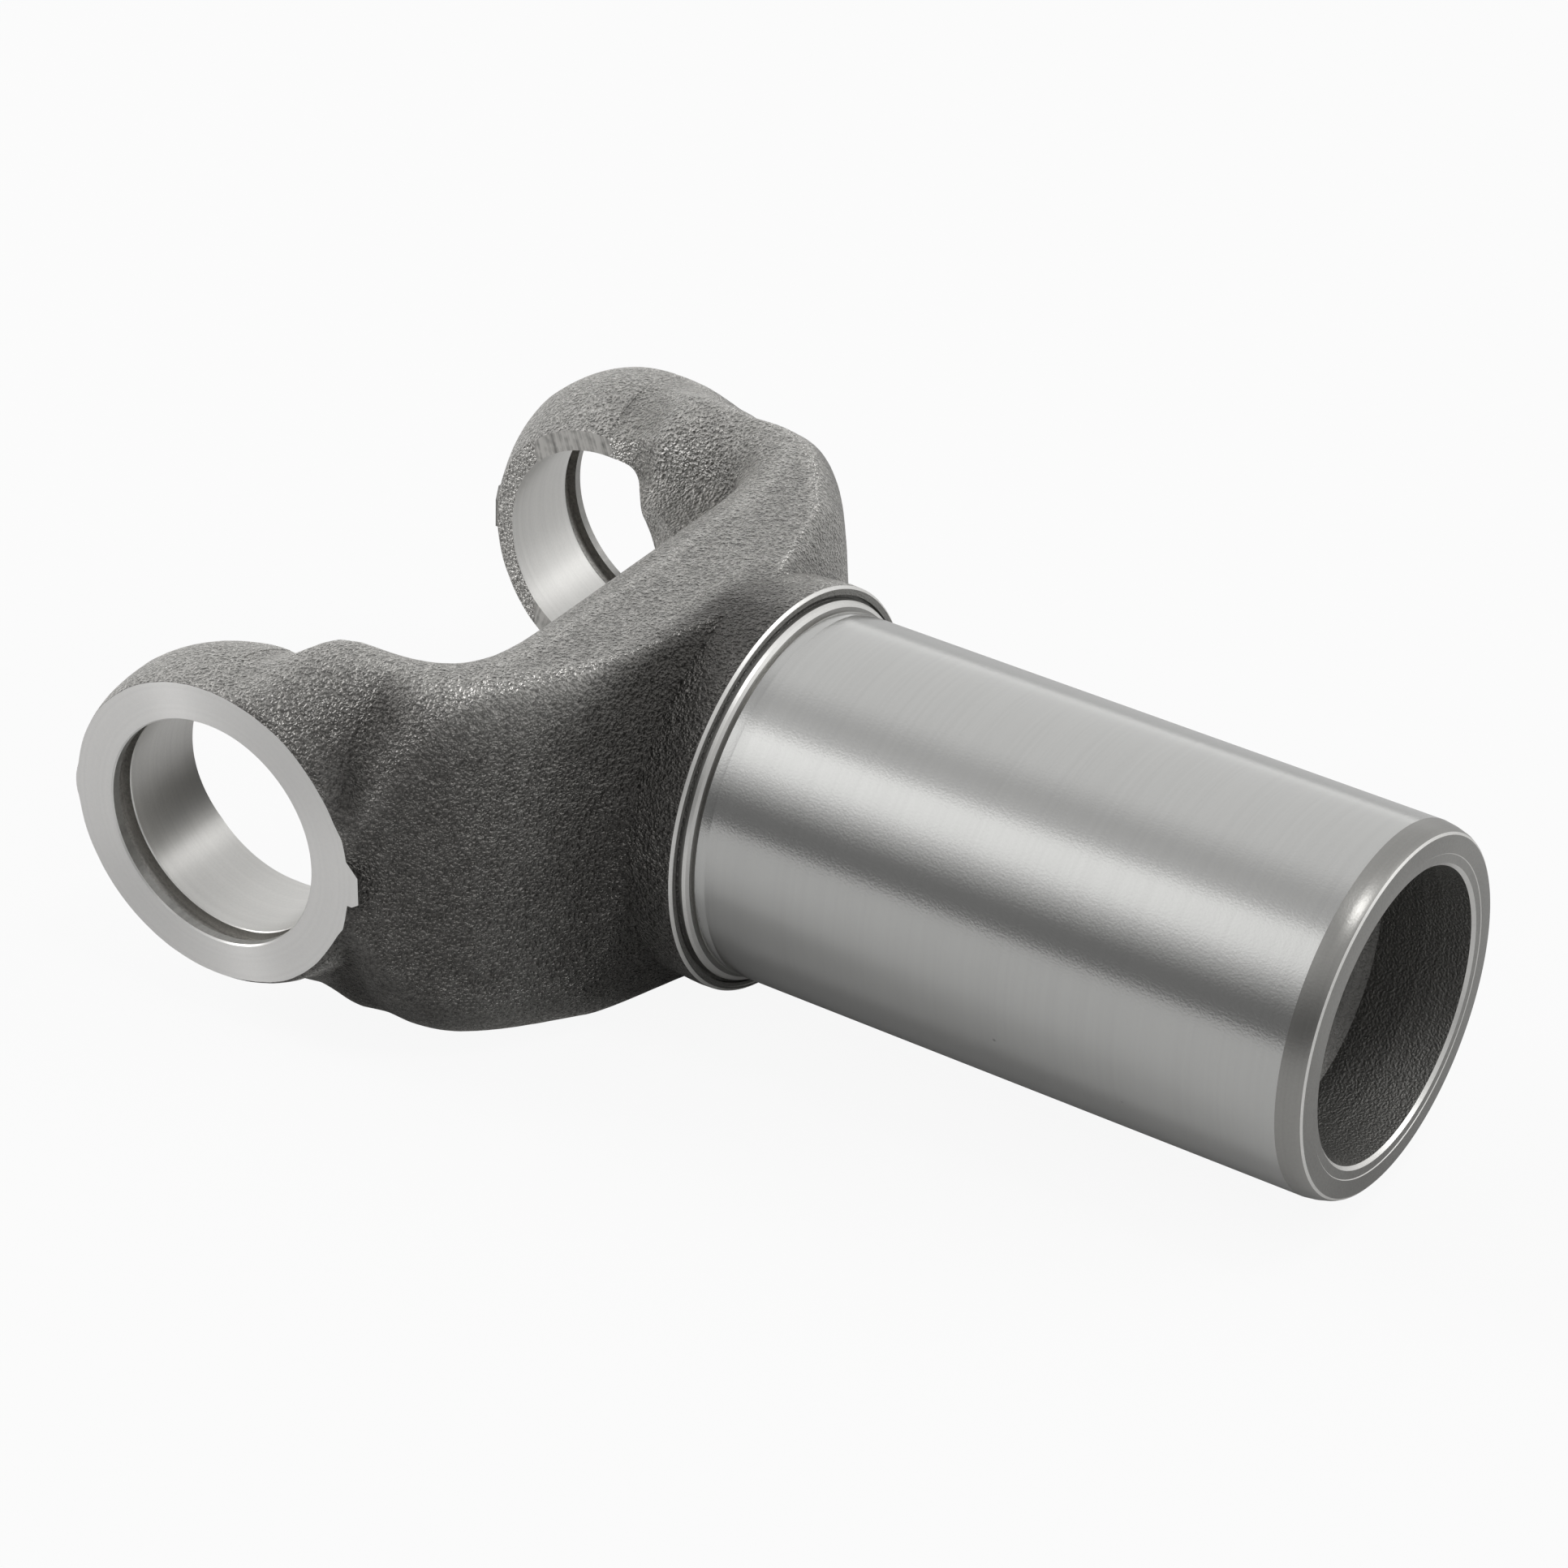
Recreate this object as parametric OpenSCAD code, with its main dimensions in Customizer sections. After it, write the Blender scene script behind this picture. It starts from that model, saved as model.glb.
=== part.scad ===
// Forged slip yoke of a drive shaft.
// The origin is where the cross-bore axis (Y) meets the barrel axis (+X, to the mouth).
// The forging dies close along Z and part at z = 0, so both halves are alike.

/* [Bearing ears] */
// Diameter of the bearing cap bore
cap_bore_d = 30.18; // [24:0.01:34]
// Wall of the ear round the bore, at its tip
ear_wall = 5.4; // [4:0.1:9]
// Distance between the machined outer faces of the ears
ear_span = 99.2; // [92:0.1:112]
// Thickness of each ear between its machined faces
ear_thick = 16.2; // [12:0.1:18]
// Height of an ear across the dies
ear_h = 42.6; // [38:0.1:48]
// Radius of the side mill that faces the inner side of an ear
facing_r = 45; // [30:1:80]
// How far past the bore axis that mill comes in
facing_x = 4; // [1:0.1:5]

/* [Snap ring grooves] */
// Width of the groove
groove_w = 2.25; // [1.2:0.05:3.5]
// Depth of the groove, from the bore
groove_depth = 1.15; // [0.5:0.05:1.8]
// Land between the groove and the outer face
groove_land = 1.3; // [0.8:0.05:2.2]
// Chamfer at the bore's outer edge
bore_chamfer = 0.2; // [0.1:0.05:0.6]

/* [Saddle] */
// Height of the body across the dies
body_h = 50.2; // [46:0.1:54]
// Distance from the cross-bore axis to the wall of the crotch
crotch_x = 24.7; // [23:0.1:27]
// Radius of the forged edges along the crotch
edge_r = 6.5; // [3:0.1:8]
// Draft angle of the forged walls
draft = 3; // [1:0.5:6]

/* [Collar] */
// Diameter of the collar
collar_d = 52.4; // [50:0.1:58]
// Distance from the cross-bore axis to the machined face of the collar
collar_x = 51.2; // [50:0.1:60]

/* [Barrel] */
// Diameter of the ground barrel
barrel_d = 46.9; // [42:0.05:48]
// Distance from the cross-bore axis to the mouth
reach = 135.9; // [100:0.5:200]
// Length of the lead-in at the mouth
lead_len = 2.6; // [1:0.1:6]
// Radial drop of the lead-in
lead_drop = 0.6; // [0.2:0.05:1]
// Chamfer at the mouth's outer edge
mouth_chamfer = 0.6; // [0.3:0.05:1.5]

/* [Bore] */
// Diameter of the counterbore at the mouth
counterbore_d = 37.1; // [36.2:0.05:40]
// Depth of the counterbore
counterbore_depth = 12.4; // [6:0.1:25]
// Chamfer at the mouth's inner edge
mouth_edge = 0.5; // [0.2:0.05:1]
// Number of spline teeth
spline_teeth = 30; // [16:1:40]
// Diameter at the roots of the spline
spline_root_d = 32.6; // [31:0.05:35]
// Diameter at the tips of the teeth
spline_tip_d = 30.2; // [28:0.05:30.8]
// Diameter of the plug seat at the crotch
seat_d = 36; // [35.5:0.1:38]

/* [Hidden] */
$fn = 96;
eps = 0.01;
// How far a cut or a joined form runs past the surface it meets
over = 1;

bore_r = cap_bore_d / 2;
tip_r = bore_r + ear_wall;
face_y = ear_span / 2;
pad_y = face_y - ear_thick;
barrel_r = barrel_d / 2;
collar_r = collar_d / 2;
body_hh = body_h / 2;
ear_hh = ear_h / 2;

// Machining stock that the cut outer face takes off the forged ear
stock = 0.4;
// Reach of an ear's crown past its cut face, at the tip
crown = 1;
// How far the cut outer face stays under the ear's top, and passes it towards the barrel
face_drop = 1.2;
face_more = 0.5;
face_hh = ear_hh - face_drop;
face_rx = tip_r + face_more;
// Width of the round from the outer face over the top of an ear, and over the neck
crown_w = 7.5;
neck_w = 12.8;
// Where the neck behind the ear starts and where the body has its full height
neck_x0 = 2;
neck_x1 = 13;
// Where the shoulders leave the ears, bend inwards and have become the collar
shoulder_x0 = 21.5;
shoulder_xm = 32.5;
shoulder_back = 8;
shoulder_x1 = collar_x - shoulder_back;
// How far the first of the two slopes comes in
shoulder_drop = 9.5;
// Between these two the draft's own height fades from the cut face's edge to the parting line
draft_x0 = 8;
draft_x1 = 26;
// Half length of the soft start and end of a slope
ease = 3;
// Height, width and fullness of the forged round along the inner side of an ear
rim_r = 3.5;
rim_w = 9.6;
rim_p = 0.6;
// How far the waist stays under the collar, and the blank's end under the waist
waist_drop = 0.2;
root_drop = 0.5;
waist_r = collar_r - waist_drop;
root_r = waist_r - root_drop;
// Last station of the blank, inside the turned collar
blank_back = 4.7;
blank_end = collar_x - blank_back;
// Least half height of the blank, at its first station
least_hh = 0.3;
// Over these lengths before its end the blank's height and its rounds become the collar's
fade_h = 7;
fade_round = 8;

function clamp(t) = min(max(t, 0), 1);
function smooth(t) = clamp(t) * clamp(t) * (3 - 2 * clamp(t));
function blend(x, x0, x1, a, b) = a + (b - a) * smooth((x - x0) / (x1 - x0));
// Straight slope from a at x0 to b at x1, with soft corners of half length e
function soft_ramp(u, e) = u <= -e ? 0 : u >= e ? u : pow(u + e, 2) / (4 * e);
function slope(x, x0, x1, a, b, e) = a
    + (b - a) * (soft_ramp(x - x0, e) - soft_ramp(x - x1, e)) / (x1 - x0);
function oval_z(x, rx, rz) = abs(x) >= rx ? 0 : rz * sqrt(1 - pow(x / rx, 2));

// Half height of the blank at x: the ear's round, the neck, the body and the collar
function blank_hh(x) = x < 0
    ? max(oval_z(x, tip_r + crown, ear_hh), least_hh)
    : x < neck_x1
        ? blend(x, neck_x0, neck_x1, ear_hh, body_hh)
        : blend(x, blank_end - fade_h, blank_end, body_hh, root_r);

// Half width of the blank at x, along the parting line
function blank_hw(x) = face_y + stock
    - slope(x, shoulder_x0, shoulder_xm, 0, shoulder_drop, ease)
    - slope(x, shoulder_xm, shoulder_x1, 0, face_y + stock - shoulder_drop - root_r, ease)
    - crown_w * (1 - sqrt(1 - pow(clamp((-x - tip_r) / crown), 2)));

// Where the ear's round along the outer top edge becomes the neck's, and that the saddle's
round_x0 = 1;
round_x1 = 10;
saddle_x0 = 20;
saddle_x1 = 29;
// How much wider and taller the saddle's round is than the forged edge
saddle_more_w = 2;
saddle_more_h = 4;
saddle_w = edge_r + saddle_more_w;
saddle_h = edge_r + saddle_more_h;
// Fullness of the round: 2 is an ellipse, less is flatter
ear_p = 2;
neck_p = 1.5;
// Where the neck's fullness starts
full_x0 = 2;
// Width, height and fullness of the round at x
function round_w(x) = blend(x, round_x0, round_x1, crown_w, neck_w)
    + blend(x, saddle_x0, saddle_x1, 0, saddle_w - neck_w)
    + blend(x, blank_end - fade_round, blank_end, 0, root_r - saddle_w);
function round_p(x) = blend(x, full_x0, round_x1, ear_p, neck_p)
    + blend(x, saddle_x0, saddle_x1, 0, ear_p - neck_p);
// Share of the round's height that lies above the cut outer face
function face_share(x) = let (c = pow(1 - stock / round_w(x), round_p(x) / 2))
    1 - pow(sqrt(1 - c * c), 2 / round_p(x));
function face_z(x) = oval_z(x, x < 0 ? tip_r : face_rx, face_hh);
// Most that a round may take of the half height
most_round = 0.98;
function ear_round_h(x) = min((blank_hh(x) - face_z(x)) / face_share(x), blank_hh(x) * most_round);
// Where the ear's own round ends, and how long it takes to become the saddle's
ear_end = face_rx - 2;
ear_fade = 10;
function round_h(x) = x < ear_end
    ? ear_round_h(x)
    : blend(x, ear_end, ear_end + ear_fade, ear_round_h(ear_end), saddle_h)
        + blend(x, blank_end - fade_round, blank_end, 0, root_r - saddle_h);

// Height at which the drafted side has its drawn width: along an ear, the cut face's edge
function draft_z(x) = x < draft_x0
    ? face_z(x)
    : blend(x, draft_x0, draft_x1, face_z(draft_x0), 0);

// One quarter of the blank's section at x: the parting line, the outer round, the top
round_n = 10;
function quarter(x) = let (
        hw = blank_hw(x),
        hh = blank_hh(x),
        rw = round_w(x),
        rh = round_h(x),
        p = 2 / round_p(x),
        lean = tan(draft) / hw,
        z0 = draft_z(x)
    ) concat(
        [[hw * (1 + lean * z0), 0]],
        [for (i = [0:round_n])
            let (
                a = i * 90 / round_n,
                z = hh - rh + rh * pow(sin(a), p),
                y = hw - rw + rw * pow(cos(a), p)
            ) [y * (1 + lean * (z0 - z)), z]],
        [[0, hh]]
    );

// The whole section as a closed ring of [y, z] points
function section(x) = let (q = quarter(x), k = len(q) - 1) [
    for (i = [0:k]) q[i],
    for (i = [k - 1:-1:0]) [-q[i][0], q[i][1]],
    for (i = [1:k]) [-q[i][0], -q[i][1]],
    for (i = [k - 1:-1:1]) [q[i][0], -q[i][1]]
];

// Stations of the blank: by angle round the tip, then by steps beside the bore,
// then in equal parts from the saddle to the blank's end
tip_angles = [87:-6:9];
bore_stations = [0:1.5:18];
saddle_n = 15;
blank_x = concat(
    [for (a = tip_angles) -(tip_r + crown) * sin(a)],
    [for (x = bore_stations) x],
    [for (i = [0:saddle_n]) saddle_x0 + i * (blank_end - saddle_x0) / saddle_n]
);

// Plan of the crotch at height z: near the parting line it is round,
// and between these two heights it gets square corners
plan_z0 = 13;
plan_z1 = 19;
low_power = 2.2;
high_power = 8;
// How far the crotch stays inside the ears' pads at those heights
low_inset = 3.6;
high_inset = 1.4;
function crotch_power(z) = blend(abs(z), plan_z0, plan_z1, low_power, high_power);
function crotch_hw(z) = blend(abs(z), plan_z0, plan_z1, pad_y - low_inset, pad_y - high_inset);

// How far the forged edges have opened at depth u under the top: a saddle's and an ear's
function edge_open(u) = edge_r - sqrt(edge_r * edge_r - pow(max(edge_r - u, 0), 2));
function rim_open(u) = rim_w * (1 - pow(clamp(u / rim_r), rim_p));

// Forged inner side of an ear at x: it stands over the milled pad at x = -ear_high_x
// and falls off from there towards the neck and the tip
ear_proud = 0.35;
ear_high_x = 5;
ear_fall = 0.0075;
function ear_inner(x) = pad_y - ear_proud + ear_fall * pow(x + ear_high_x, 2);

// Where the wall of the crotch begins behind the ear's inner side
wall_x0 = 3;
wall_x1 = 9.5;
// How much later the ear's forged edge has become the saddle's
edge_more = 3;
// Height up to which the crotch is drawn in level slices, and how far it runs over the top
level_z = 12;
top_gap = 0.03;
top_over = 3;

// A point's height: s is its share of the way from level_z to the top at x
function level_at(s, x) = s > 1
    ? body_hh + top_over
    : level_z + s * (blank_hh(x) + top_gap - level_z);
function depth_at(s, x) = max(blank_hh(x) - level_at(s, x), 0);
function open_at(s, x) = blend(
    x, wall_x0, wall_x1 + edge_more, rim_open(depth_at(s, x)), edge_open(depth_at(s, x))
);

// Points of the crotch's outline at level s, where z is the level's usual height:
// on the wall at angle a from the barrel axis, and beside the ear at x
function wall_point(s, z, a) = let (
        p = 2 / crotch_power(z),
        x = crotch_x * pow(cos(a), p),
        y = crotch_hw(z) * pow(sin(a), p),
        nx = pow(cos(a), 2 - p) / crotch_x,
        ny = pow(sin(a), 2 - p) / crotch_hw(z),
        f = open_at(s, x) / norm([nx, ny])
    ) [x + f * nx, y + f * ny, level_at(s, x)];
function wall_y(z, x) = let (n = crotch_power(z))
    crotch_hw(z) * pow(1 - pow(x / crotch_x, n), 1 / n);
function side_point(s, z, x) = [
    x,
    blend(x, wall_x0, wall_x1, ear_inner(x), wall_y(z, x)) + open_at(s, x),
    level_at(s, x)
];

// Outline of the crotch at one level, from the bore axis round the wall and back
wall_n = 12;
side_n = 8;
function crotch_side(s, z) = let (a0 = acos(pow(wall_x1 / crotch_x, crotch_power(z) / 2))) concat(
    [for (i = [0:wall_n - 1]) wall_point(s, z, i * a0 / wall_n)],
    [for (i = [side_n:-1:0]) side_point(s, z, i * wall_x1 / side_n)]
);
function mirrored(p) = [p[0], -p[1], p[2]];
function crotch_ring(s, z) = let (side = crotch_side(s, z), k = len(side) - 1) concat(
    [for (i = [k:-1:1]) mirrored(side[i])],
    side
);
// The same at a plain height z near the parting line
function low_ring(z) = [for (p = crotch_ring(0, z)) [p[0], p[1], z]];

// Levels by share of the height above the slices, closer where the edges are rounded;
// the last one lies over the top
levels = [0, 0.25, 0.48, 0.6, 0.67, 0.74, 0.8, 0.86, 0.91, 0.95, 0.98, 1, 2];
slices = [-8:4:8];
tip_room_angles = [0:9:180];
last = len(levels) - 1;
function level_z_at(s) = level_z + min(s, 1) * (body_hh - level_z);
function high_rings() = [for (s = levels) crotch_ring(s, level_z_at(s))];
function flipped(ring) = [for (p = ring) [p[0], p[1], -p[2]]];

// Section of the room between the ears on the tip side, at angle a from the Z axis
function tip_scale(a) = 1 / norm([sin(a) * ear_hh / (tip_r + crown), cos(a)]);
function tip_side(a) = let (k = tip_scale(a)) [
    for (s = levels) let (r = level_at(s, 0) * k)
        [r, ear_inner(-r * sin(a)) + rim_open(depth_at(s, 0))]
];
function tip_ring(a) = let (side = tip_side(a)) [
    for (i = [0:last]) [-side[i][0] * sin(a), -side[i][1], side[i][0] * cos(a)],
    for (i = [last:-1:0]) [-side[i][0] * sin(a), side[i][1], side[i][0] * cos(a)]
];

// Triangles across a flat end, each between a point and the one opposite it in the ring
function end_faces(n) = [
    for (i = [0:ceil(n / 2) - 2]) each concat(
        [[i, i + 1, n - 1 - i]],
        i + 1 < n - 2 - i ? [[i + 1, n - 2 - i, n - 1 - i]] : []
    )
];

// A closed solid through rings of equal length, with flat ends
module loft(rings) {
    n = len(rings[0]);
    m = len(rings);
    points = [for (r = rings) each r];
    sides = [for (j = [0:m - 2], i = [0:n - 1])
        let (a = j * n + i, b = j * n + (i + 1) % n)
        each [[b, a, b + n], [b + n, a, a + n]]];
    first = end_faces(n);
    final = [for (f = end_faces(n)) [for (i = [2:-1:0]) f[i] + (m - 1) * n]];
    polyhedron(points = points, faces = concat(sides, first, final), convexity = 6);
}

module blank() {
    loft([for (x = blank_x) [for (p = section(x)) [x, p[0], p[1]]]]);
}

module crotch() {
    high = high_rings();
    loft(concat(
        [for (i = [last:-1:0]) flipped(high[i])],
        [for (z = slices) low_ring(z)],
        high
    ));
    loft([for (a = tip_room_angles) tip_ring(a)]);
}

// Collar, by distance behind its machined face: start inside the body, end of the hub,
// end of the waist, then start, top and end of the rounded crest
hub_back = 12;
hub_end = 6;
waist_end = 4.4;
crest_start = 2.7;
crest_top = 1.7;
crest_end = 0.8;
// Drops under the waist at the hub's start and end, and under the crest beside it and at the face
hub_drop = 1.4;
hub_end_drop = 0.1;
crest_drop = 0.05;
crest_round = 0.6;
// Between collar and barrel, by distance from the collar's face: a step, a cone, a fine relief
step_end = 0.8;
cone_end = 1.5;
relief_x = 2;
relief_end = 2.6;
// Their rise over the barrel, and the relief's drop under it
step_rise = 1.55;
cone_rise = 0.6;
relief_drop = 0.15;
// Share of the lead-in's drop that it has halfway
lead_share = 0.3;
lead_x0 = reach - mouth_chamfer - lead_len;

// Everything that is turned about the barrel axis, outside
module turned() {
    rotate([0, 90, 0]) rotate_extrude() polygon([
        [0, collar_x - hub_back],
        [waist_r - hub_drop, collar_x - hub_back],
        [waist_r - hub_end_drop, collar_x - hub_end],
        [waist_r, collar_x - waist_end],
        [collar_r - crest_drop, collar_x - crest_start],
        [collar_r, collar_x - crest_top],
        [collar_r - crest_drop, collar_x - crest_end],
        [collar_r - crest_round, collar_x],
        [barrel_r + step_rise, collar_x],
        [barrel_r + step_rise, collar_x + step_end],
        [barrel_r + cone_rise, collar_x + cone_end],
        [barrel_r - relief_drop, collar_x + relief_x],
        [barrel_r, collar_x + relief_end],
        [barrel_r, lead_x0],
        [barrel_r - lead_drop * lead_share, lead_x0 + lead_len / 2],
        [barrel_r - lead_drop, reach - mouth_chamfer],
        [barrel_r - lead_drop - mouth_chamfer, reach],
        [0, reach]
    ]);
}

// Thickness and half size of the block that stands for the facing cutter
facing_t = 20;
facing_half = 60;

// Bore, groove and chamfer of both ears, cut right across
module cross_bore() {
    rotate([90, 0, 0]) cylinder(r = bore_r, h = ear_span + 2 * over, center = true);
    translate([facing_x - facing_r, 0, 0]) rotate([90, 0, 0])
        cylinder(r = facing_r, h = 2 * pad_y, center = true);
    for (side = [-1, 1]) {
        scale([1, side, 1]) rotate([-90, 0, 0]) {
            translate([0, 0, face_y - groove_land - groove_w])
                cylinder(r = bore_r + groove_depth, h = groove_w);
            translate([0, 0, face_y - bore_chamfer])
                cylinder(r1 = bore_r, r2 = bore_r + bore_chamfer + eps, h = bore_chamfer + eps);
        }
        translate([-facing_half, side > 0 ? face_y : -face_y - facing_t, -facing_half])
            cube([2 * facing_half, facing_t, 2 * facing_half]);
    }
}

// How far the plug seat runs past the wall of the crotch
seat_more = 6;
// Half width of a tooth space as a share of the pitch, on the tip and on the root circle
space_tip = 0.2;
space_root = 0.32;

module barrel_bore() {
    counterbore_r = counterbore_d / 2;
    shoulder = counterbore_r - spline_tip_d / 2;
    bottom = reach - counterbore_depth;
    rotate([0, 90, 0]) rotate_extrude() polygon([
        [0, bottom - shoulder],
        [spline_tip_d / 2, bottom - shoulder],
        [counterbore_r, bottom],
        [counterbore_r, reach - mouth_edge],
        [counterbore_r + mouth_edge + eps, reach + eps],
        [0, reach + eps]
    ]);
    rotate([0, 90, 0]) cylinder(d = seat_d, h = crotch_x + seat_more);
    rotate([0, 90, 0]) linear_extrude(bottom - over) spline_hole();
}

// Hole between the teeth, seen along the barrel
module spline_hole() {
    tips = spline_tip_d / 2;
    roots = spline_root_d / 2;
    pitch = 360 / spline_teeth;
    half_tip = space_tip * pitch * tips * PI / 180;
    half_root = space_root * pitch * roots * PI / 180;
    circle(r = tips);
    intersection() {
        circle(r = roots);
        for (i = [0:spline_teeth - 1]) rotate(i * pitch) polygon([
            [tips - over, -half_tip],
            [roots + over, -half_root],
            [roots + over, half_root],
            [tips - over, half_tip]
        ]);
    }
}

// What the trimming left of the flash at the parting line: a stub beside each outer face,
// and a flat patch over the inner rim at each tip
stub_h = 3.8;
stub_low = 2.8;
stub_deep = 2.5;
stub_out = 1.2;
patch_h = 4;
// The patch starts and ends this far behind the pad, at these depths under the tip
patch_y0 = 1.2;
patch_y1 = 4.4;
patch_drop0 = 2.2;
patch_drop1 = 0.35;
module flash_stubs() {
    for (side = [0, 1]) mirror([0, side, 0]) {
        translate([face_rx - over, -face_y + eps, -stub_low])
            cube([over + stub_out, stub_deep, stub_h]);
        translate([0, 0, -patch_h / 2]) linear_extrude(patch_h) polygon([
            [-bore_r - over, -pad_y - patch_y0],
            [patch_drop0 - tip_r, -pad_y - patch_y0],
            [patch_drop1 - tip_r, -pad_y - patch_y1],
            [patch_drop1 - tip_r, -pad_y - patch_y1 - over],
            [-bore_r - over, -pad_y - patch_y1 - over]
        ]);
    }
}

module slip_yoke() {
    color("gray") difference() {
        union() {
            difference() {
                blank();
                crotch();
            }
            turned();
            flash_stubs();
        }
        cross_bore();
        barrel_bore();
    }
}

slip_yoke();
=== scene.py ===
# Forged slip yoke of a drive shaft: its visual model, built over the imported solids.
import math

import bmesh
import bpy
import numpy as np
from bpy.props import FloatProperty, IntProperty, PointerProperty, StringProperty
from bpy.types import Operator, Panel, PropertyGroup
from mathutils import Matrix, Vector, noise


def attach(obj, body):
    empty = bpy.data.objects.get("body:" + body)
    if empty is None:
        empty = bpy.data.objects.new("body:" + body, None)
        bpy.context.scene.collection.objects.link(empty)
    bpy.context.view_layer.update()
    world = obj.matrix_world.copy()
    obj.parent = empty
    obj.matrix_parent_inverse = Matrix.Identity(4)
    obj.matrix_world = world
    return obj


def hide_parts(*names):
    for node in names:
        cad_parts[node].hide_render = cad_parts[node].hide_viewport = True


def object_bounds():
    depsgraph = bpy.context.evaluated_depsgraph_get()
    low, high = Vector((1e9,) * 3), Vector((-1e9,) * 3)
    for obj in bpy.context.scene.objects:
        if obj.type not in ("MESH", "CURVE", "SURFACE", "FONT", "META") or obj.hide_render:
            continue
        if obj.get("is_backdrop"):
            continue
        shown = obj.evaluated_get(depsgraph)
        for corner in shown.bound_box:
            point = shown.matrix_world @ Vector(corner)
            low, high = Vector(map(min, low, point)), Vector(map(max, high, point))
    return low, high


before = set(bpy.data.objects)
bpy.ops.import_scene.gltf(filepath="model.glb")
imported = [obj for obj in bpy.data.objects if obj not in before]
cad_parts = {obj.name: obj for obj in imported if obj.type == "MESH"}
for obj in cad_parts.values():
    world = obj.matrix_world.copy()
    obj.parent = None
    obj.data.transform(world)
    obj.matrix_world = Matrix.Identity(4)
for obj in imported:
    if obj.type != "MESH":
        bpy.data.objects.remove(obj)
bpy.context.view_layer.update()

bl_info = {
    "name": "Forged Slip Yoke",
    "version": (1, 0, 0),
    "blender": (4, 5, 0),
    "location": "3D View > Sidebar > Yoke",
    "description": "Builds a forged slip yoke with its machined faces, on a white studio floor",
    "category": "Object",
}

MM = 0.001
NODE = "slip_yoke"
BODY = "root"

# Order of the finishes in every mesh that takes part in a cut
FINISHES = (
    "shot_blasted_forging",
    "milled_ear_face",
    "bored_cap_wall",
    "turned_groove",
    "side_milled_pad",
    "ground_barrel",
    "turned_shoulder",
    "bright_turned_edge",
    "turned_lead_in",
    "bored_counterbore",
    "broached_spline",
    "trimmed_flash",
)
FINISH = {name: i for i, name in enumerate(FINISHES)}


def length(name, description, default_mm):
    """A length in metres whose default is given in millimetres."""
    return FloatProperty(
        name=name, description=description, default=default_mm * MM,
        unit="LENGTH", precision=5,
    )


class YokeSizes(PropertyGroup):
    """The same named sizes as the solid's source."""

    cap_bore_d: length("Cap bore", "Diameter of the bearing cap bore", 30.18)
    ear_wall: length("Ear wall", "Wall of the ear round the bore, at its tip", 5.4)
    ear_span: length("Ear span", "Distance between the machined outer faces", 99.2)
    ear_thick: length("Ear thickness", "Between an ear's machined faces", 16.2)
    ear_h: length("Ear height", "Height of an ear across the dies", 42.6)
    facing_r: length("Facing radius", "Radius of the side mill on the inner side", 45)
    facing_x: length("Facing reach", "How far the side mill passes the bore axis", 4)
    groove_w: length("Groove width", "Width of the snap ring groove", 2.25)
    groove_depth: length("Groove depth", "Depth of the groove from the bore", 1.15)
    groove_land: length("Groove land", "Between the groove and the outer face", 1.3)
    bore_chamfer: length("Bore chamfer", "Chamfer at the bore's outer edge", 0.2)
    body_h: length("Body height", "Height of the body across the dies", 50.2)
    crotch_x: length("Crotch distance", "From the bore axis to the crotch wall", 24.7)
    edge_r: length("Forged edge radius", "Radius along the crotch's edges", 6.5)
    collar_d: length("Collar diameter", "Diameter of the collar", 52.4)
    collar_x: length("Collar distance", "From the bore axis to the collar's face", 51.2)
    barrel_d: length("Barrel diameter", "Diameter of the ground barrel", 46.9)
    reach: length("Reach", "From the bore axis to the mouth", 135.9)
    lead_len: length("Lead-in length", "Length of the lead-in at the mouth", 2.6)
    lead_drop: length("Lead-in drop", "Radial drop of the lead-in", 0.6)
    mouth_chamfer: length("Mouth chamfer", "Chamfer at the mouth's outer edge", 0.6)
    counterbore_d: length("Counterbore", "Diameter of the counterbore", 37.1)
    counterbore_depth: length("Counterbore depth", "Depth of the counterbore", 12.4)
    mouth_edge: length("Mouth edge", "Chamfer at the mouth's inner edge", 0.5)
    spline_root_d: length("Spline root", "Diameter at the roots of the spline", 32.6)
    spline_tip_d: length("Spline tip", "Diameter at the tips of the teeth", 30.2)
    seat_d: length("Plug seat", "Diameter of the plug seat at the crotch", 36)
    spline_teeth: IntProperty(
        name="Spline teeth", description="Number of spline teeth", default=30, min=8, max=60
    )
    draft: FloatProperty(
        name="Draft", description="Draft angle of the forged walls",
        default=math.radians(3), subtype="ANGLE",
    )
    skin_swell: length("Skin swell", "Depth of the wide unevenness of the skin", 0.10)
    skin_grain: length("Skin grain", "Depth of the fine unevenness of the skin", 0.05)


def shade(name, description, default):
    """A colour as an sRGB hex value."""
    return StringProperty(name=name, description=description, default=default)


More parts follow.
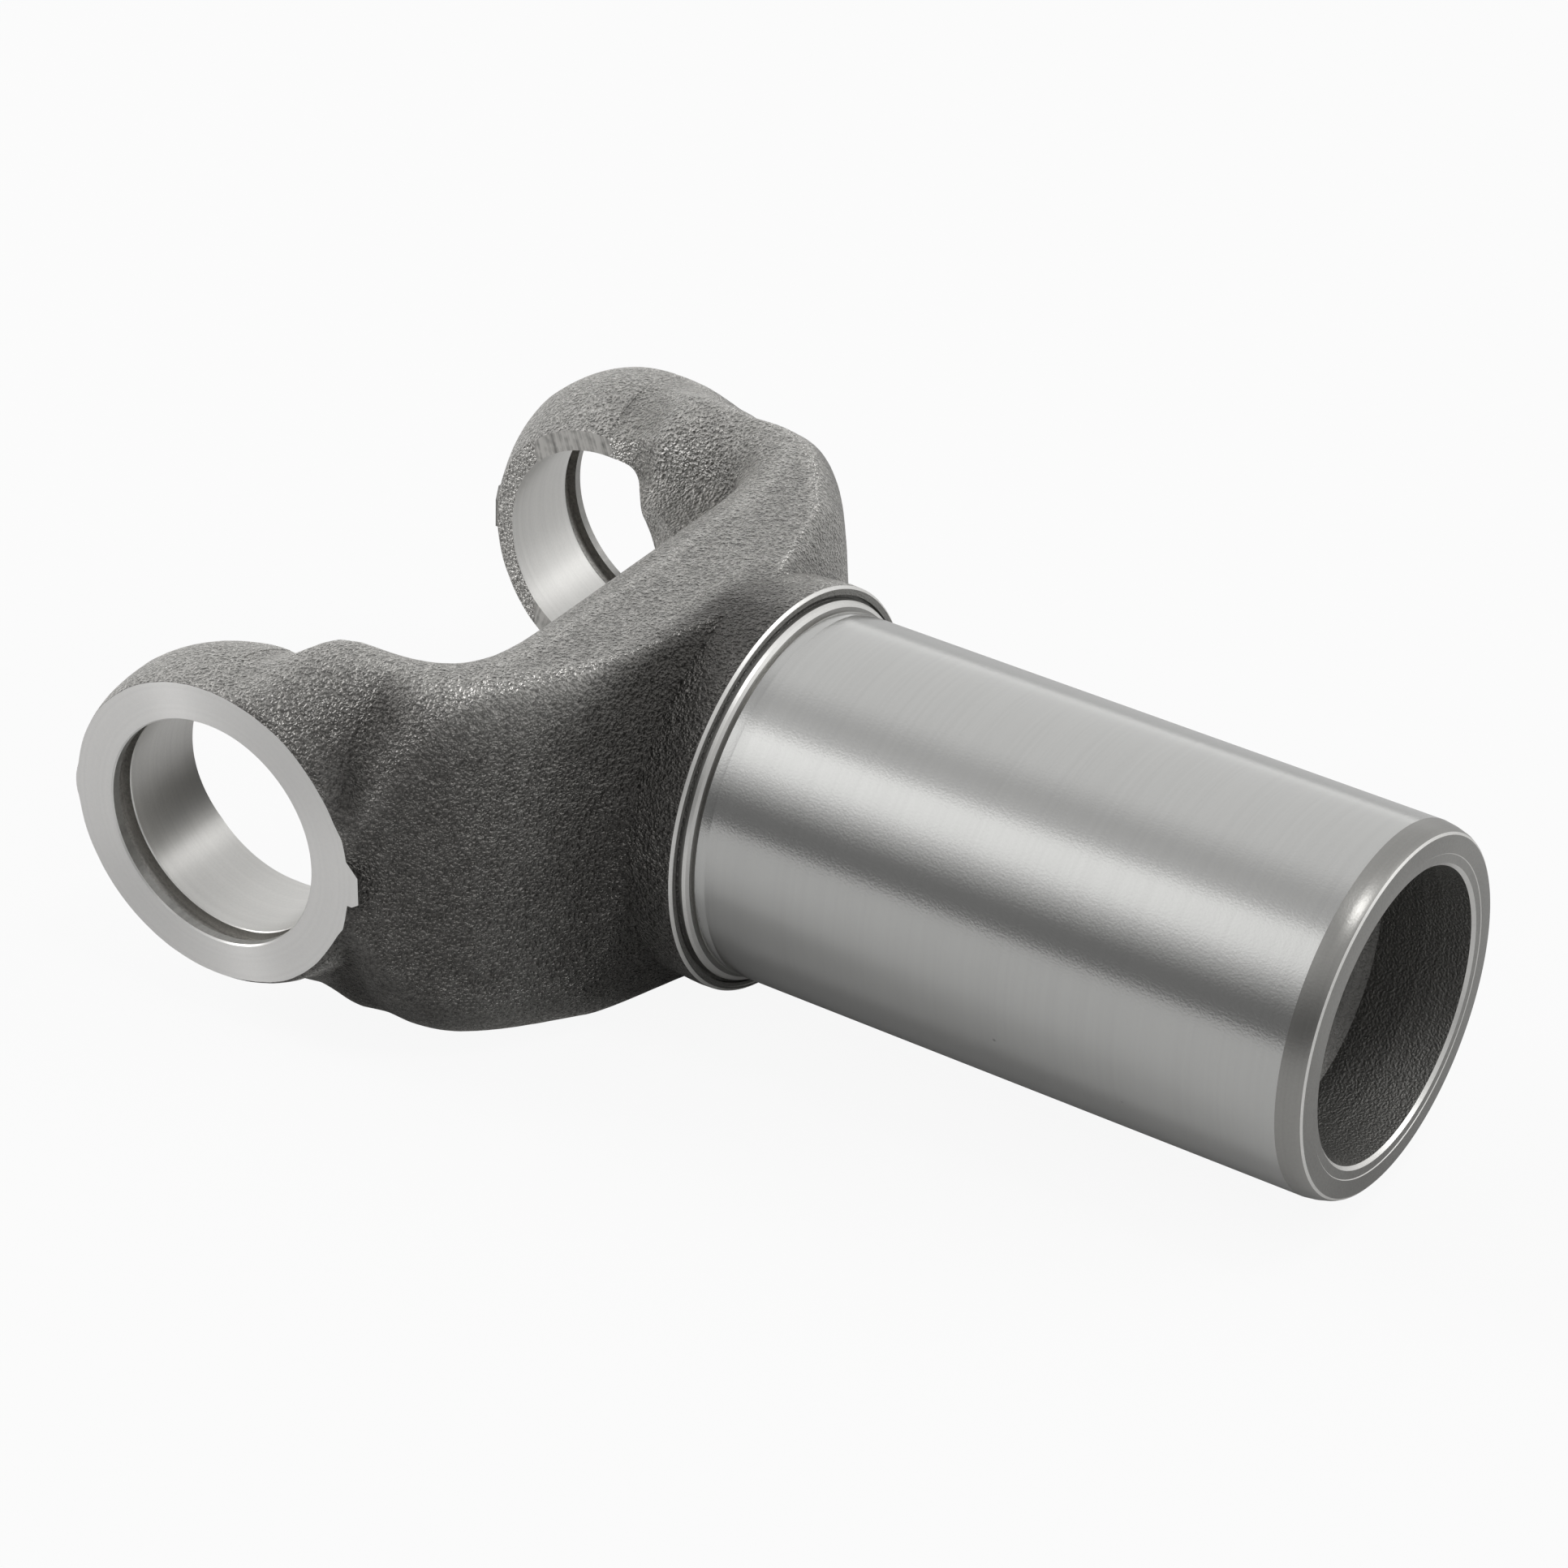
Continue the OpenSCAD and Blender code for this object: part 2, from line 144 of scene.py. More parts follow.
class YokeColours(PropertyGroup):
    """sRGB hex values of the bare steel after each way of working it. The skin's two tones and the
    turned edges carry painted light, the spline painted shade.
    """

    # Painted light: the lit tone of the blasted skin, on tops and crests
    skin: shade("Blasted skin", "Skin that the shot has struck squarely", "#dedcd8")
    # Painted shade: the shaded tone of the same skin, on the outer side walls, the slope to the
    # collar and hollows
    wall: shade("Drawn walls", "Walls drawn along the dies, which keep more scale", "#7c7a77")
    skin_pit: shade("Scale pits", "Share of the tone left in the pits of the skin", "#c2c2c2")
    milled: shade("Milled face", "Fly-cut outer faces of the ears", "#f7f6f4")
    bored: shade("Bored wall", "Fine-bored walls of the cap bores", "#dddcd9")
    groove: shade("Groove", "Turned snap ring grooves", "#c0beba")
    pad: shade("Side-milled pad", "Rough-milled inner sides of the ears", "#d2d0cc")
    ground: shade("Ground barrel", "Centreless-ground barrel", "#cbcbc9")
    turned: shade("Turned shoulder", "Turned faces of the collar and the mouth", "#a5a4a1")
    # Painted highlight: chamfers and broken edges are paler for the light that they catch
    edge: shade("Turned edge", "Fresh chamfers, which catch the light", "#f0efec")
    counterbore: shade("Counterbore", "Dull bored wall inside the mouth", "#949390")
    # Painted shade: darker for the teeth deep in the bore
    spline: shade("Spline", "Broached teeth", "#8f8e8a")


class StudioSetup(PropertyGroup):
    """Camera and light, set to the photograph's view."""

    lens: FloatProperty(
        name="Lens", description="Focal length in millimetres", default=140.996
    )
    floor_size: length("Floor size", "Side of the square floor", 8000)
    fill: FloatProperty(name="Room", description="Strength of the room's light", default=1.0)
    right_lamp: FloatProperty(name="Right lamp", description="Power in watts", default=3.5)
    left_lamp: FloatProperty(name="Left lamp", description="Power in watts", default=8.0)
    top_lamp: FloatProperty(name="Top lamp", description="Power in watts", default=3.0)


def linear(hex_colour):
    """sRGB hex to a linear RGBA colour."""
    text = hex_colour.lstrip("#")
    srgb = [int(text[i:i + 2], 16) / 255 for i in (0, 2, 4)]
    rgb = [c / 12.92 if c <= 0.04045 else ((c + 0.055) / 1.055) ** 2.4 for c in srgb]
    return (*rgb, 1.0)


# The form of the forging, in millimetres


def clamp(t):
    return min(max(t, 0.0), 1.0)


def smooth(t):
    t = clamp(t)
    return t * t * (3 - 2 * t)


def rise(x, start, run):
    """Smooth share that is 0 up to start and 1 after run. A negative run falls off instead."""
    return smooth((x - start) / run)


def blend(x, x0, x1, a, b):
    return a + (b - a) * smooth((x - x0) / (x1 - x0))


def soft_ramp(u, e):
    """Straight ramp with a soft corner of half length e."""
    return 0 if u <= -e else u if u >= e else (u + e) ** 2 / (4 * e)


def slope(x, x0, x1, a, b, e):
    return a + (b - a) * (soft_ramp(x - x0, e) - soft_ramp(x - x1, e)) / (x1 - x0)


def oval_z(x, rx, rz):
    return 0 if abs(x) >= rx else rz * math.sqrt(1 - (x / rx) ** 2)


class Forging:
    """Half sections and crotch levels of the blank, as in the solid's source."""

    # Stock that the face cut takes off an ear, the reach of its crown past that cut, and how
    # far the cut face stays under the ear's top and passes it towards the barrel
    stock, crown, face_drop, face_more = 0.4, 1, 1.2, 0.5
    # The neck behind an ear, and the width and fullness of the round over its outer edge
    neck_x0, neck_x1, crown_w, neck_w = 1, 11.2, 7.5, 12
    round_x0, round_x1, full_x0, ear_p, neck_p = 1, 10, 2, 2, 1.5
    # The same round on the saddle, wider and taller than the forged edge
    narrow_x0, narrow_x1, saddle_x0, saddle_x1 = 14.8, 27.8, 20, 29
    saddle_more_w, saddle_more_h = 2, 4
    # How far before the face's end an ear's round starts to become the saddle's, and its run
    ear_back, ear_fade = 2, 10
    # Where the shoulders leave the ears, bend inwards and have become the collar
    shoulder_x0, shoulder_xm, shoulder_back, shoulder_drop, ease = 21.5, 32.5, 8, 9.5, 3
    # Here the draft's own height fades from the cut face's edge to the parting line
    draft_x0, draft_x1 = 8, 26
    # Steps from the collar to the waist and the blank's end, and the fades before that end
    waist_drop, root_drop, blank_back, fade_h, fade_round = 0.2, 0.5, 4.7, 7, 8
    # Least half height at the tip, and the most that a round may take of the half height
    least_hh, most_round = 0.3, 0.98
    # Height, width and fullness of the forged round along the inner side of an ear
    rim_r, rim_w, rim_p = 3.5, 9.6, 0.6
    # That side stands over the milled pad behind the bore axis and falls off both ways
    ear_proud, ear_high_x, ear_fall = 0.35, 5, 0.0075
    # Plan of the crotch: round near the parting line, with square corners higher up
    plan_z0, plan_z1, low_power, high_power, low_inset, high_inset = 13, 19, 2.2, 8, 3.6, 1.4
    # Where its wall starts behind the ear, and how much later the edge is the saddle's
    wall_x0, wall_x1, edge_more = 3, 9.5, 3
    # Height up to which it is drawn in level slices, and how far it runs over the top
    level_z, top_gap, top_over = 12, 0.03, 3
    # Finer than in the solid: beside an ear's face the skin falls away towards the barrel,
    # and the corner to the neck is scooped out. A pair is the start and the run of a rise
    fall_y, fall_from, fall_to, fall_side = 0.6, (16, 4), (31, -8), (-1, 3)
    scoop_d, scoop_from, scoop_to, scoop_y = 1.45, (2, 5), (21, -5), (25, 12)
    scoop_side, scoop_end, scoop_top = (0, 3), (8.6, -3.8), 0.2
    # Turns of noise in a millimetre for the skin's swell and its grain, and their distance
    swell_rate, grain_rate, apart = 0.11, 0.55, Vector((31, 7, 13))
    # Ridge above the collar: its X in the middle, and the Y where its curve would end
    ridge_x, ridge_y, ridge_p = 40, 58, 4
    # Shares of painted light on the saddle and more on the ears, and where each changes
    saddle_struck, ear_struck, ear_from = 0.63, 0.24, (8, -12)
    # Where the painted shade of the slope down to the collar and of the outer side walls starts
    # and runs, and the width over which the walls' shade fades towards the middle
    slope_from, slope_near, wall_from, middle_w = (-1, 4), (8, -14), (0.35, 0.5), 10
    # Shares of the pitch that a tooth space takes at the tips and at the roots
    space_tip, space_root = 0.4, 0.62
    # How far a cut or a joined form runs past the surface it meets
    over = 1.0

    def __init__(self, sizes):
        for name, value in sizes.bl_rna.properties.items():
            if value.type == "FLOAT" and value.unit == "LENGTH":
                setattr(self, name, getattr(sizes, name) / MM)
        self.draft = sizes.draft
        self.teeth = sizes.spline_teeth
        self.bore_r = self.cap_bore_d / 2
        self.tip_r = self.bore_r + self.ear_wall
        self.face_y = self.ear_span / 2
        self.pad_y = self.face_y - self.ear_thick
        self.barrel_r = self.barrel_d / 2
        self.collar_r = self.collar_d / 2
        self.body_hh = self.body_h / 2
        self.ear_hh = self.ear_h / 2
        self.face_hh = self.ear_hh - self.face_drop
        self.face_rx = self.tip_r + self.face_more
        self.shoulder_x1 = self.collar_x - self.shoulder_back
        self.waist_r = self.collar_r - self.waist_drop
        self.root_r = self.waist_r - self.root_drop
        self.blank_end = self.collar_x - self.blank_back
        self.saddle_w = self.edge_r + self.saddle_more_w
        self.saddle_h = self.edge_r + self.saddle_more_h

    def half_height(self, x):
        if x < 0:
            return max(oval_z(x, self.tip_r + self.crown, self.ear_hh), self.least_hh)
        if x < self.neck_x1:
            return blend(x, self.neck_x0, self.neck_x1, self.ear_hh, self.body_hh)
        return blend(x, self.blank_end - self.fade_h, self.blank_end, self.body_hh, self.root_r)

    def half_width(self, x):
        full = self.face_y + self.stock
        rest = full - self.shoulder_drop - self.root_r
        tip = clamp((-x - self.tip_r) / self.crown)
        return (
            full
            - slope(x, self.shoulder_x0, self.shoulder_xm, 0, self.shoulder_drop, self.ease)
            - slope(x, self.shoulder_xm, self.shoulder_x1, 0, rest, self.ease)
            - self.crown_w * (1 - math.sqrt(1 - tip ** 2))
        )

    def last_round(self, x, size):
        """What a round of this size gains where it becomes the collar's."""
        return blend(x, self.blank_end - self.fade_round, self.blank_end, 0, self.root_r - size)

    def round_w(self, x):
        return (
            blend(x, self.round_x0, self.round_x1, self.crown_w, self.neck_w)
            + blend(x, self.narrow_x0, self.narrow_x1, 0, self.saddle_w - self.neck_w)
            + self.last_round(x, self.saddle_w)
        )

    def round_p(self, x):
        return (
            blend(x, self.full_x0, self.round_x1, self.ear_p, self.neck_p)
            + blend(x, self.saddle_x0, self.saddle_x1, 0, self.ear_p - self.neck_p)
        )

    def face_share(self, x):
        """Share of the round's height that lies above the cut outer face."""
        c = (1 - self.stock / self.round_w(x)) ** (self.round_p(x) / 2)
        return 1 - math.sqrt(1 - c * c) ** (2 / self.round_p(x))

    def face_z(self, x):
        return oval_z(x, self.tip_r if x < 0 else self.face_rx, self.face_hh)

    def draft_z(self, x):
        """Height at which the drafted side has its drawn width."""
        if x < self.draft_x0:
            return self.face_z(x)
        return blend(x, self.draft_x0, self.draft_x1, self.face_z(self.draft_x0), 0)

    def ear_round_h(self, x):
        high = (self.half_height(x) - self.face_z(x)) / self.face_share(x)
        return min(high, self.half_height(x) * self.most_round)

    def round_h(self, x):
        start = self.face_rx - self.ear_back
        if x < start:
            return self.ear_round_h(x)
        ear_h = self.ear_round_h(start)
        return (
            blend(x, start, start + self.ear_fade, ear_h, self.saddle_h)
            + self.last_round(x, self.saddle_h)
        )

    def quarter(self, x, inward, down, side_n=22, round_n=26, top_n=38):
        """Half-side outline from the parting line over the round to the middle of the top.
        inward and down are the shares of the corner's scoop."""
        hw, hh = self.half_width(x), self.half_height(x)
        rw, rh = self.round_w(x), self.round_h(x)
        p = 2 / self.round_p(x)
        points = [(hw, (hh - rh) * i / side_n) for i in range(side_n)]
        for i in range(round_n + 1):
            a = math.pi / 2 * i / round_n
            # sin and cos of a right angle are pinned, so that the flat top is level
            s, c = (1, 0) if i == round_n else (math.sin(a), math.cos(a))
            points.append((hw - rw + rw * c ** p, hh - rh + rh * s ** p))
        points += [((hw - rw) * (1 - i / top_n), hh) for i in range(1, top_n + 1)]
        lean, z0 = math.tan(self.draft) / hw, self.draft_z(x)
        leaned = [(y * (1 + lean * (z0 - z)) - self.fall(x, z), z) for y, z in points]
        depths = [self.scoop(x, y, z) for y, z in leaned]
        return [(y - inward * d, z - down * d) for (y, z), d in zip(leaned, depths)]

    def outside(self, x, z):
        """How far a point lies outside the oval of the ear's face."""
        return (math.hypot(x / self.face_rx, z / self.face_hh) - 1) * self.face_rx

    def fall(self, x, z):
        """How far the skin falls away beside the face's oval, at its barrel end."""
        near = rise(x, *self.fall_from) * rise(x, *self.fall_to)
        return self.fall_y * near * rise(self.outside(x, z), *self.fall_side)

    def scoop(self, x, y, z):
        """How deep the corner between the ear's face and the neck is scooped out."""
        out = self.outside(x, z)
        near = rise(x, *self.scoop_from) * rise(x, *self.scoop_to) * rise(y, *self.scoop_y)
        return self.scoop_d * near * rise(out, *self.scoop_side) * rise(out, *self.scoop_end)

    def section(self, x):
        high, low = self.quarter(x, self.scoop_top, 0), self.quarter(x, 1, 1)
        ring = high + [(-y, z) for y, z in high[-2::-1]]
        ring += [(-y, -z) for y, z in low[1:]] + [(y, -z) for y, z in low[-2:0:-1]]
        return [(x, y, z) for y, z in ring]

    def crotch_power(self, z):
        return blend(abs(z), self.plan_z0, self.plan_z1, self.low_power, self.high_power)

    def crotch_hw(self, z):
        low, high = self.pad_y - self.low_inset, self.pad_y - self.high_inset
        return blend(abs(z), self.plan_z0, self.plan_z1, low, high)

    def edge_open(self, u):
        return self.edge_r - math.sqrt(self.edge_r ** 2 - max(self.edge_r - u, 0) ** 2)

    def rim_open(self, u):
        return self.rim_w * (1 - clamp(u / self.rim_r) ** self.rim_p)

    def ear_inner(self, x):
        return self.pad_y - self.ear_proud + self.ear_fall * (x + self.ear_high_x) ** 2

    def level_at(self, s, x):
        """Height at the share s of the way from the level slices to the top at x."""
        if s > 1:
            return self.body_hh + self.top_over
        return self.level_z + s * (self.half_height(x) + self.top_gap - self.level_z)

    def depth_at(self, s, x):
        return max(self.half_height(x) - self.level_at(s, x), 0)

    def open_at(self, s, x):
        u, x1 = self.depth_at(s, x), self.wall_x1 + self.edge_more
        return blend(x, self.wall_x0, x1, self.rim_open(u), self.edge_open(u))

    def wall_point(self, s, z, a):
        p, hw = 2 / self.crotch_power(z), self.crotch_hw(z)
        sin, cos = math.sin(a), math.cos(a)
        x, y = self.crotch_x * cos ** p, hw * sin ** p
        nx, ny = cos ** (2 - p) / self.crotch_x, sin ** (2 - p) / hw
        f = self.open_at(s, x) / math.hypot(nx, ny)
        return (x + f * nx, y + f * ny, self.level_at(s, x))

    def wall_y(self, z, x):
        n = self.crotch_power(z)
        return self.crotch_hw(z) * (1 - (x / self.crotch_x) ** n) ** (1 / n)

    def side_point(self, s, z, x):
        y = blend(x, self.wall_x0, self.wall_x1, self.ear_inner(x), self.wall_y(z, x))
        return (x, y + self.open_at(s, x), self.level_at(s, x))

    def crotch_ring(self, s, z, wall_n=48, side_n=26):
        """Outline of the crotch at one level, for the barrel's side of the bore axis."""
        a0 = math.acos((self.wall_x1 / self.crotch_x) ** (self.crotch_power(z) / 2))
        side = [self.wall_point(s, z, i * a0 / wall_n) for i in range(wall_n)]
        side += [self.side_point(s, z, i * self.wall_x1 / side_n) for i in range(side_n, -1, -1)]
        return [(x, -y, h) for x, y, h in side[:0:-1]] + side

    def tip_ring(self, levels, a):
        """Section of the room between the ears at angle a from the Z axis."""
        sin, cos = math.sin(a), math.cos(a)
        k = 1 / math.hypot(sin * self.ear_hh / (self.tip_r + self.crown), cos)
        side = []
        for s in levels:
            r = self.level_at(s, 0) * k
            side.append((r, self.ear_inner(-r * sin) + self.rim_open(self.depth_at(s, 0))))
        ring = [(-r * sin, -y, r * cos) for r, y in side]
        return ring + [(-r * sin, y, r * cos) for r, y in side[::-1]]

    def swell(self, point):
        """How deep the skin lies under its drawn form at a point."""
        p = Vector(point)
        wide = noise.fractal(p * self.swell_rate, 1.0, 2.0, 2)
        grain = noise.fractal(p * self.grain_rate + self.apart, 1.0, 2.1, 3)
        depth = self.skin_swell * (0.5 + 0.5 * wide) + self.skin_grain * (0.5 + 0.5 * grain)
        return max(depth, 0.0)

    def struck(self, point, normal):
        """Share of painted light on the skin from a point's place and normal: most on top of the
        ears, less on the saddle, and painted shade on the outer side walls and on the near slope
        down to the collar."""
        ridge = self.ridge_x * (1 - (abs(point.y) / self.ridge_y) ** self.ridge_p)
        falling = rise(point.x - ridge, *self.slope_from) * rise(point.y, *self.slope_near)
        outer = normal.y * clamp(abs(point.y) / self.middle_w) * (1 if point.y > 0 else -1)
        spread = self.saddle_struck + self.ear_struck * rise(point.x, *self.ear_from)
        return spread * (1 - rise(outer, *self.wall_from)) * (1 - falling)


def give_finishes(mesh, marks):
    """All finishes in their order, and to each face its own by name."""
    mesh.materials.clear()
    for name in FINISHES:
        mesh.materials.append(bpy.data.materials[name])
    mesh.polygons.foreach_set("material_index", [FINISH[mark] for mark in marks])
    mesh.update()


def new_mesh(name, points, faces, finish):
    """A mesh in metres from points in millimetres, with one finish or a list of them."""
    mesh = bpy.data.meshes.new(name)
    mesh.from_pydata([tuple(c * MM for c in p) for p in points], [], faces)
    give_finishes(mesh, [finish] * len(faces) if isinstance(finish, str) else finish)
    return mesh


def outward(mesh, sink=None):
    """Turns the faces outwards. sink gives how far a point then moves along its normal."""
    bm = bmesh.new()
    bm.from_mesh(mesh)
    bmesh.ops.recalc_face_normals(bm, faces=bm.faces)
    bm.normal_update()
    if sink:
        moved = [vert.co + vert.normal * sink(vert.co / MM) * MM for vert in bm.verts]
        for vert, place in zip(bm.verts, moved):
            vert.co = place
    bm.to_mesh(mesh)
    bm.free()
    return mesh


def loft(name, rings, finish, sink=None, fan=False):
    """A closed solid through rings of equal length, with sink as in outward.
    Its ends are a ladder between opposite points of the ring, or one face each with fan."""
    n, last = len(rings[0]), (len(rings) - 1) * len(rings[0])
    points = [p for ring in rings for p in ring]
    faces = []
    for j in range(len(rings) - 1):
        for i in range(n):
            a, b = j * n + i, j * n + (i + 1) % n
            faces.append((a, b, b + n, a + n))
    if fan:
        faces += [tuple(range(n))[::-1], tuple(range(last, last + n))]
    for i in range(0 if fan else math.ceil(n / 2) - 1):
        end = [i, i + 1, n - 2 - i, n - 1 - i]
        if end[1] == end[2]:
            end.pop(2)
        faces += [tuple(end[::-1]), tuple(k + last for k in end)]
    return outward(new_mesh(name, points, faces, finish), sink)


def revolve(name, profile, axis, finishes, turns=192):
    """A closed solid turned about an axis from (distance, radius) points."""
    points, rings, faces, marks = [], [], [], []
    for along, radius in profile:
        count = turns if radius > 0 else 1
        rings.append([len(points) + k % count for k in range(turns + 1)])
        for k in range(count):
            a = 2 * math.pi * k / turns
            points.append((along, radius * math.cos(a), radius * math.sin(a)))
    for one, two, finish in zip(rings, rings[1:], finishes):
        for k in range(turns):
            # A ring of radius 0 is one point, which leaves a triangle
            faces.append(tuple(dict.fromkeys((one[k], one[k + 1], two[k + 1], two[k]))))
            marks.append(finish)
    if axis == "Y":
        points = [(-y, x, z) for x, y, z in points]
    return outward(new_mesh(name, points, faces, marks))


def linked(mesh):
    obj = bpy.data.objects.new(mesh.name, mesh)
    bpy.context.scene.collection.objects.link(obj)
    return obj


def baked(obj, modifier):
    """The evaluated mesh of an object, which then loses the modifier."""
    graph = bpy.context.evaluated_depsgraph_get()
    mesh = bpy.data.meshes.new_from_object(obj.evaluated_get(graph), depsgraph=graph)
    obj.modifiers.remove(modifier)
    return mesh


def combine(obj, mesh, operation):
    """Joins mesh to obj, or cuts it away, and keeps the finish of every face."""
    other = linked(mesh)
    cut = obj.modifiers.new("cut", "BOOLEAN")
    cut.operation = operation
    cut.solver = "MANIFOLD"
    cut.object = other
    old, obj.data = obj.data, baked(obj, cut)
    bpy.data.meshes.remove(old)
    bpy.data.objects.remove(other)
    bpy.data.meshes.remove(mesh)


# The spline broach, as a node tree


def add(tree, kind, links=None, stops=(), **settings):
    """Adds a node with its settings, its links and, for a colour ramp, its stops. links maps
    each input to a value, a socket, or a node whose first output it takes."""
    node = tree.nodes.new(kind)
    for key, value in settings.items():
        setattr(node, key, value)
    for key, value in (links or {}).items():
        if isinstance(value, bpy.types.Node):
            value = value.outputs[0]
        if isinstance(value, bpy.types.NodeSocket):
            tree.links.new(value, node.inputs[key])
        else:
            node.inputs[key].default_value = value
    for i, (at, colour) in enumerate(stops):
        elements = node.color_ramp.elements
        element = elements[i] if i < 2 else elements.new(at)
        element.position = at
        element.color = colour
    return node


def calc(tree, operation, *values):
    """A math node over values, sockets or nodes."""
    return add(tree, "ShaderNodeMath", dict(enumerate(values)), operation=operation)


def noise_at(tree, place, **inputs):
    """A noise texture at a place, with its inputs by name."""
    return add(tree, "ShaderNodeTexNoise", {"Vector": place, **inputs})


def cleared(owner):
    """The emptied node tree of a material or a world."""
    owner.use_nodes = True
    owner.node_tree.nodes.clear()
    return owner.node_tree


def broach_tree():
    """Tooth spaces of a spline, set round the X axis."""
    tree = bpy.data.node_groups.new("spline_broach", "GeometryNodeTree")
    sockets = tree.interface
    sockets.new_socket("Geometry", in_out="OUTPUT", socket_type="NodeSocketGeometry")
    sockets.new_socket("Teeth", in_out="INPUT", socket_type="NodeSocketInt")
    for name in ("Tip Radius", "Root Radius", "Width At Tip", "Width At Root", "Length"):
        sockets.new_socket(name, in_out="INPUT", socket_type="NodeSocketFloat")
    sockets.new_socket("Finish", in_out="INPUT", socket_type="NodeSocketMaterial")
    given = add(tree, "NodeGroupInput").outputs
    # One space: a block from the tip circle to the root circle, wider at its foot
    deep = calc(tree, "SUBTRACT", given["Root Radius"], given["Tip Radius"])
    size = add(tree, "ShaderNodeCombineXYZ", {"X": deep, "Y": 1.0, "Z": given["Length"]})
    cube = add(tree, "GeometryNodeMeshCube", {"Size": size})
    place = add(tree, "ShaderNodeSeparateXYZ", {0: add(tree, "GeometryNodeInputPosition")})
    outer = calc(tree, "GREATER_THAN", place.outputs["X"], 0.0)
    width = add(tree, "ShaderNodeMix", {"Factor": outer, "A": given["Width At Tip"],
                                        "B": given["Width At Root"]})
    across = calc(tree, "MULTIPLY", place.outputs["Y"], width)
    mid = calc(tree, "MULTIPLY_ADD", deep, 0.5, given["Tip Radius"])
    out_x = calc(tree, "ADD", place.outputs["X"], mid)
    moved = add(tree, "ShaderNodeCombineXYZ", {"X": out_x, "Y": across, "Z": place.outputs["Z"]})
    space = add(tree, "GeometryNodeSetPosition",
                {"Geometry": cube.outputs["Mesh"], "Position": moved})
    # The spaces stand on one point each, turned by an equal share of the circle
    points = add(tree, "GeometryNodePoints", {"Count": given["Teeth"]})
    index = add(tree, "GeometryNodeInputIndex")
    share = calc(tree, "DIVIDE", index, given["Teeth"])
    turn = calc(tree, "MULTIPLY", share, 2 * math.pi)
    spin = add(tree, "ShaderNodeCombineXYZ", {"Z": turn})
    rotation = add(tree, "FunctionNodeEulerToRotation", {0: spin})
    ring = add(tree, "GeometryNodeInstanceOnPoints",
               {"Points": points, "Instance": space, "Rotation": rotation})
    lying = add(tree, "GeometryNodeTransform", {"Geometry": ring, "Rotation": (0, math.pi / 2, 0)})
    real = add(tree, "GeometryNodeRealizeInstances", {0: lying})
    done = add(tree, "GeometryNodeSetMaterial", {"Geometry": real, "Material": given["Finish"]})
    add(tree, "NodeGroupOutput", {0: done})
    return tree


def broach_mesh(form, length_mm, middle_mm):
    """The tree's result as a plain mesh, moved along the barrel axis."""
    tree = broach_tree()
    obj = linked(bpy.data.meshes.new("broach"))
    modifier = obj.modifiers.new("broach", "NODES")
    modifier.node_group = tree
    pitch = 2 * math.pi / form.teeth
    tip_r, root_r = form.spline_tip_d / 2, form.spline_root_d / 2
    values = {
        "Teeth": form.teeth,
        "Tip Radius": (tip_r - form.over) * MM,
        "Root Radius": root_r * MM,
        "Width At Tip": form.space_tip * pitch * tip_r * MM,
        "Width At Root": form.space_root * pitch * root_r * MM,
        "Length": length_mm * MM,
        "Finish": bpy.data.materials["broached_spline"],
    }
    for item in tree.interface.items_tree:
        if item.in_out == "INPUT":
            modifier[item.identifier] = values[item.name]
    empty, mesh = obj.data, baked(obj, modifier)
    bpy.data.objects.remove(obj)
    bpy.data.meshes.remove(empty)
    give_finishes(mesh, ["broached_spline"] * len(mesh.polygons))
    mesh.transform(Matrix.Translation((middle_mm * MM, 0, 0)))
    mesh.name = "broach_mesh"
    return mesh


# Finishes


def new_finish(name):
    """A material's tree, its Principled shader and the place on the piece."""
    tree = cleared(bpy.data.materials.new(name))
    shader = add(tree, "ShaderNodeBsdfPrincipled")
    add(tree, "ShaderNodeOutputMaterial", {"Surface": shader})
    return tree, shader, add(tree, "ShaderNodeTexCoord").outputs["Object"]


def bare_metal(tree, shader, colour, roughness, height, depth):
    """Links a metal's colour and relief. depth is what a height of 1 means, in metres."""
    bump = add(tree, "ShaderNodeBump", {"Height": height, "Strength": 1.0, "Distance": depth})
    tree.links.new(colour, shader.inputs["Base Color"])
    tree.links.new(bump.outputs[0], shader.inputs["Normal"])
    shader.inputs["Metallic"].default_value = 1.0
    shader.inputs["Roughness"].default_value = roughness


def dimmed(colour, share):
    return (*(c * share for c in colour[:3]), 1.0)


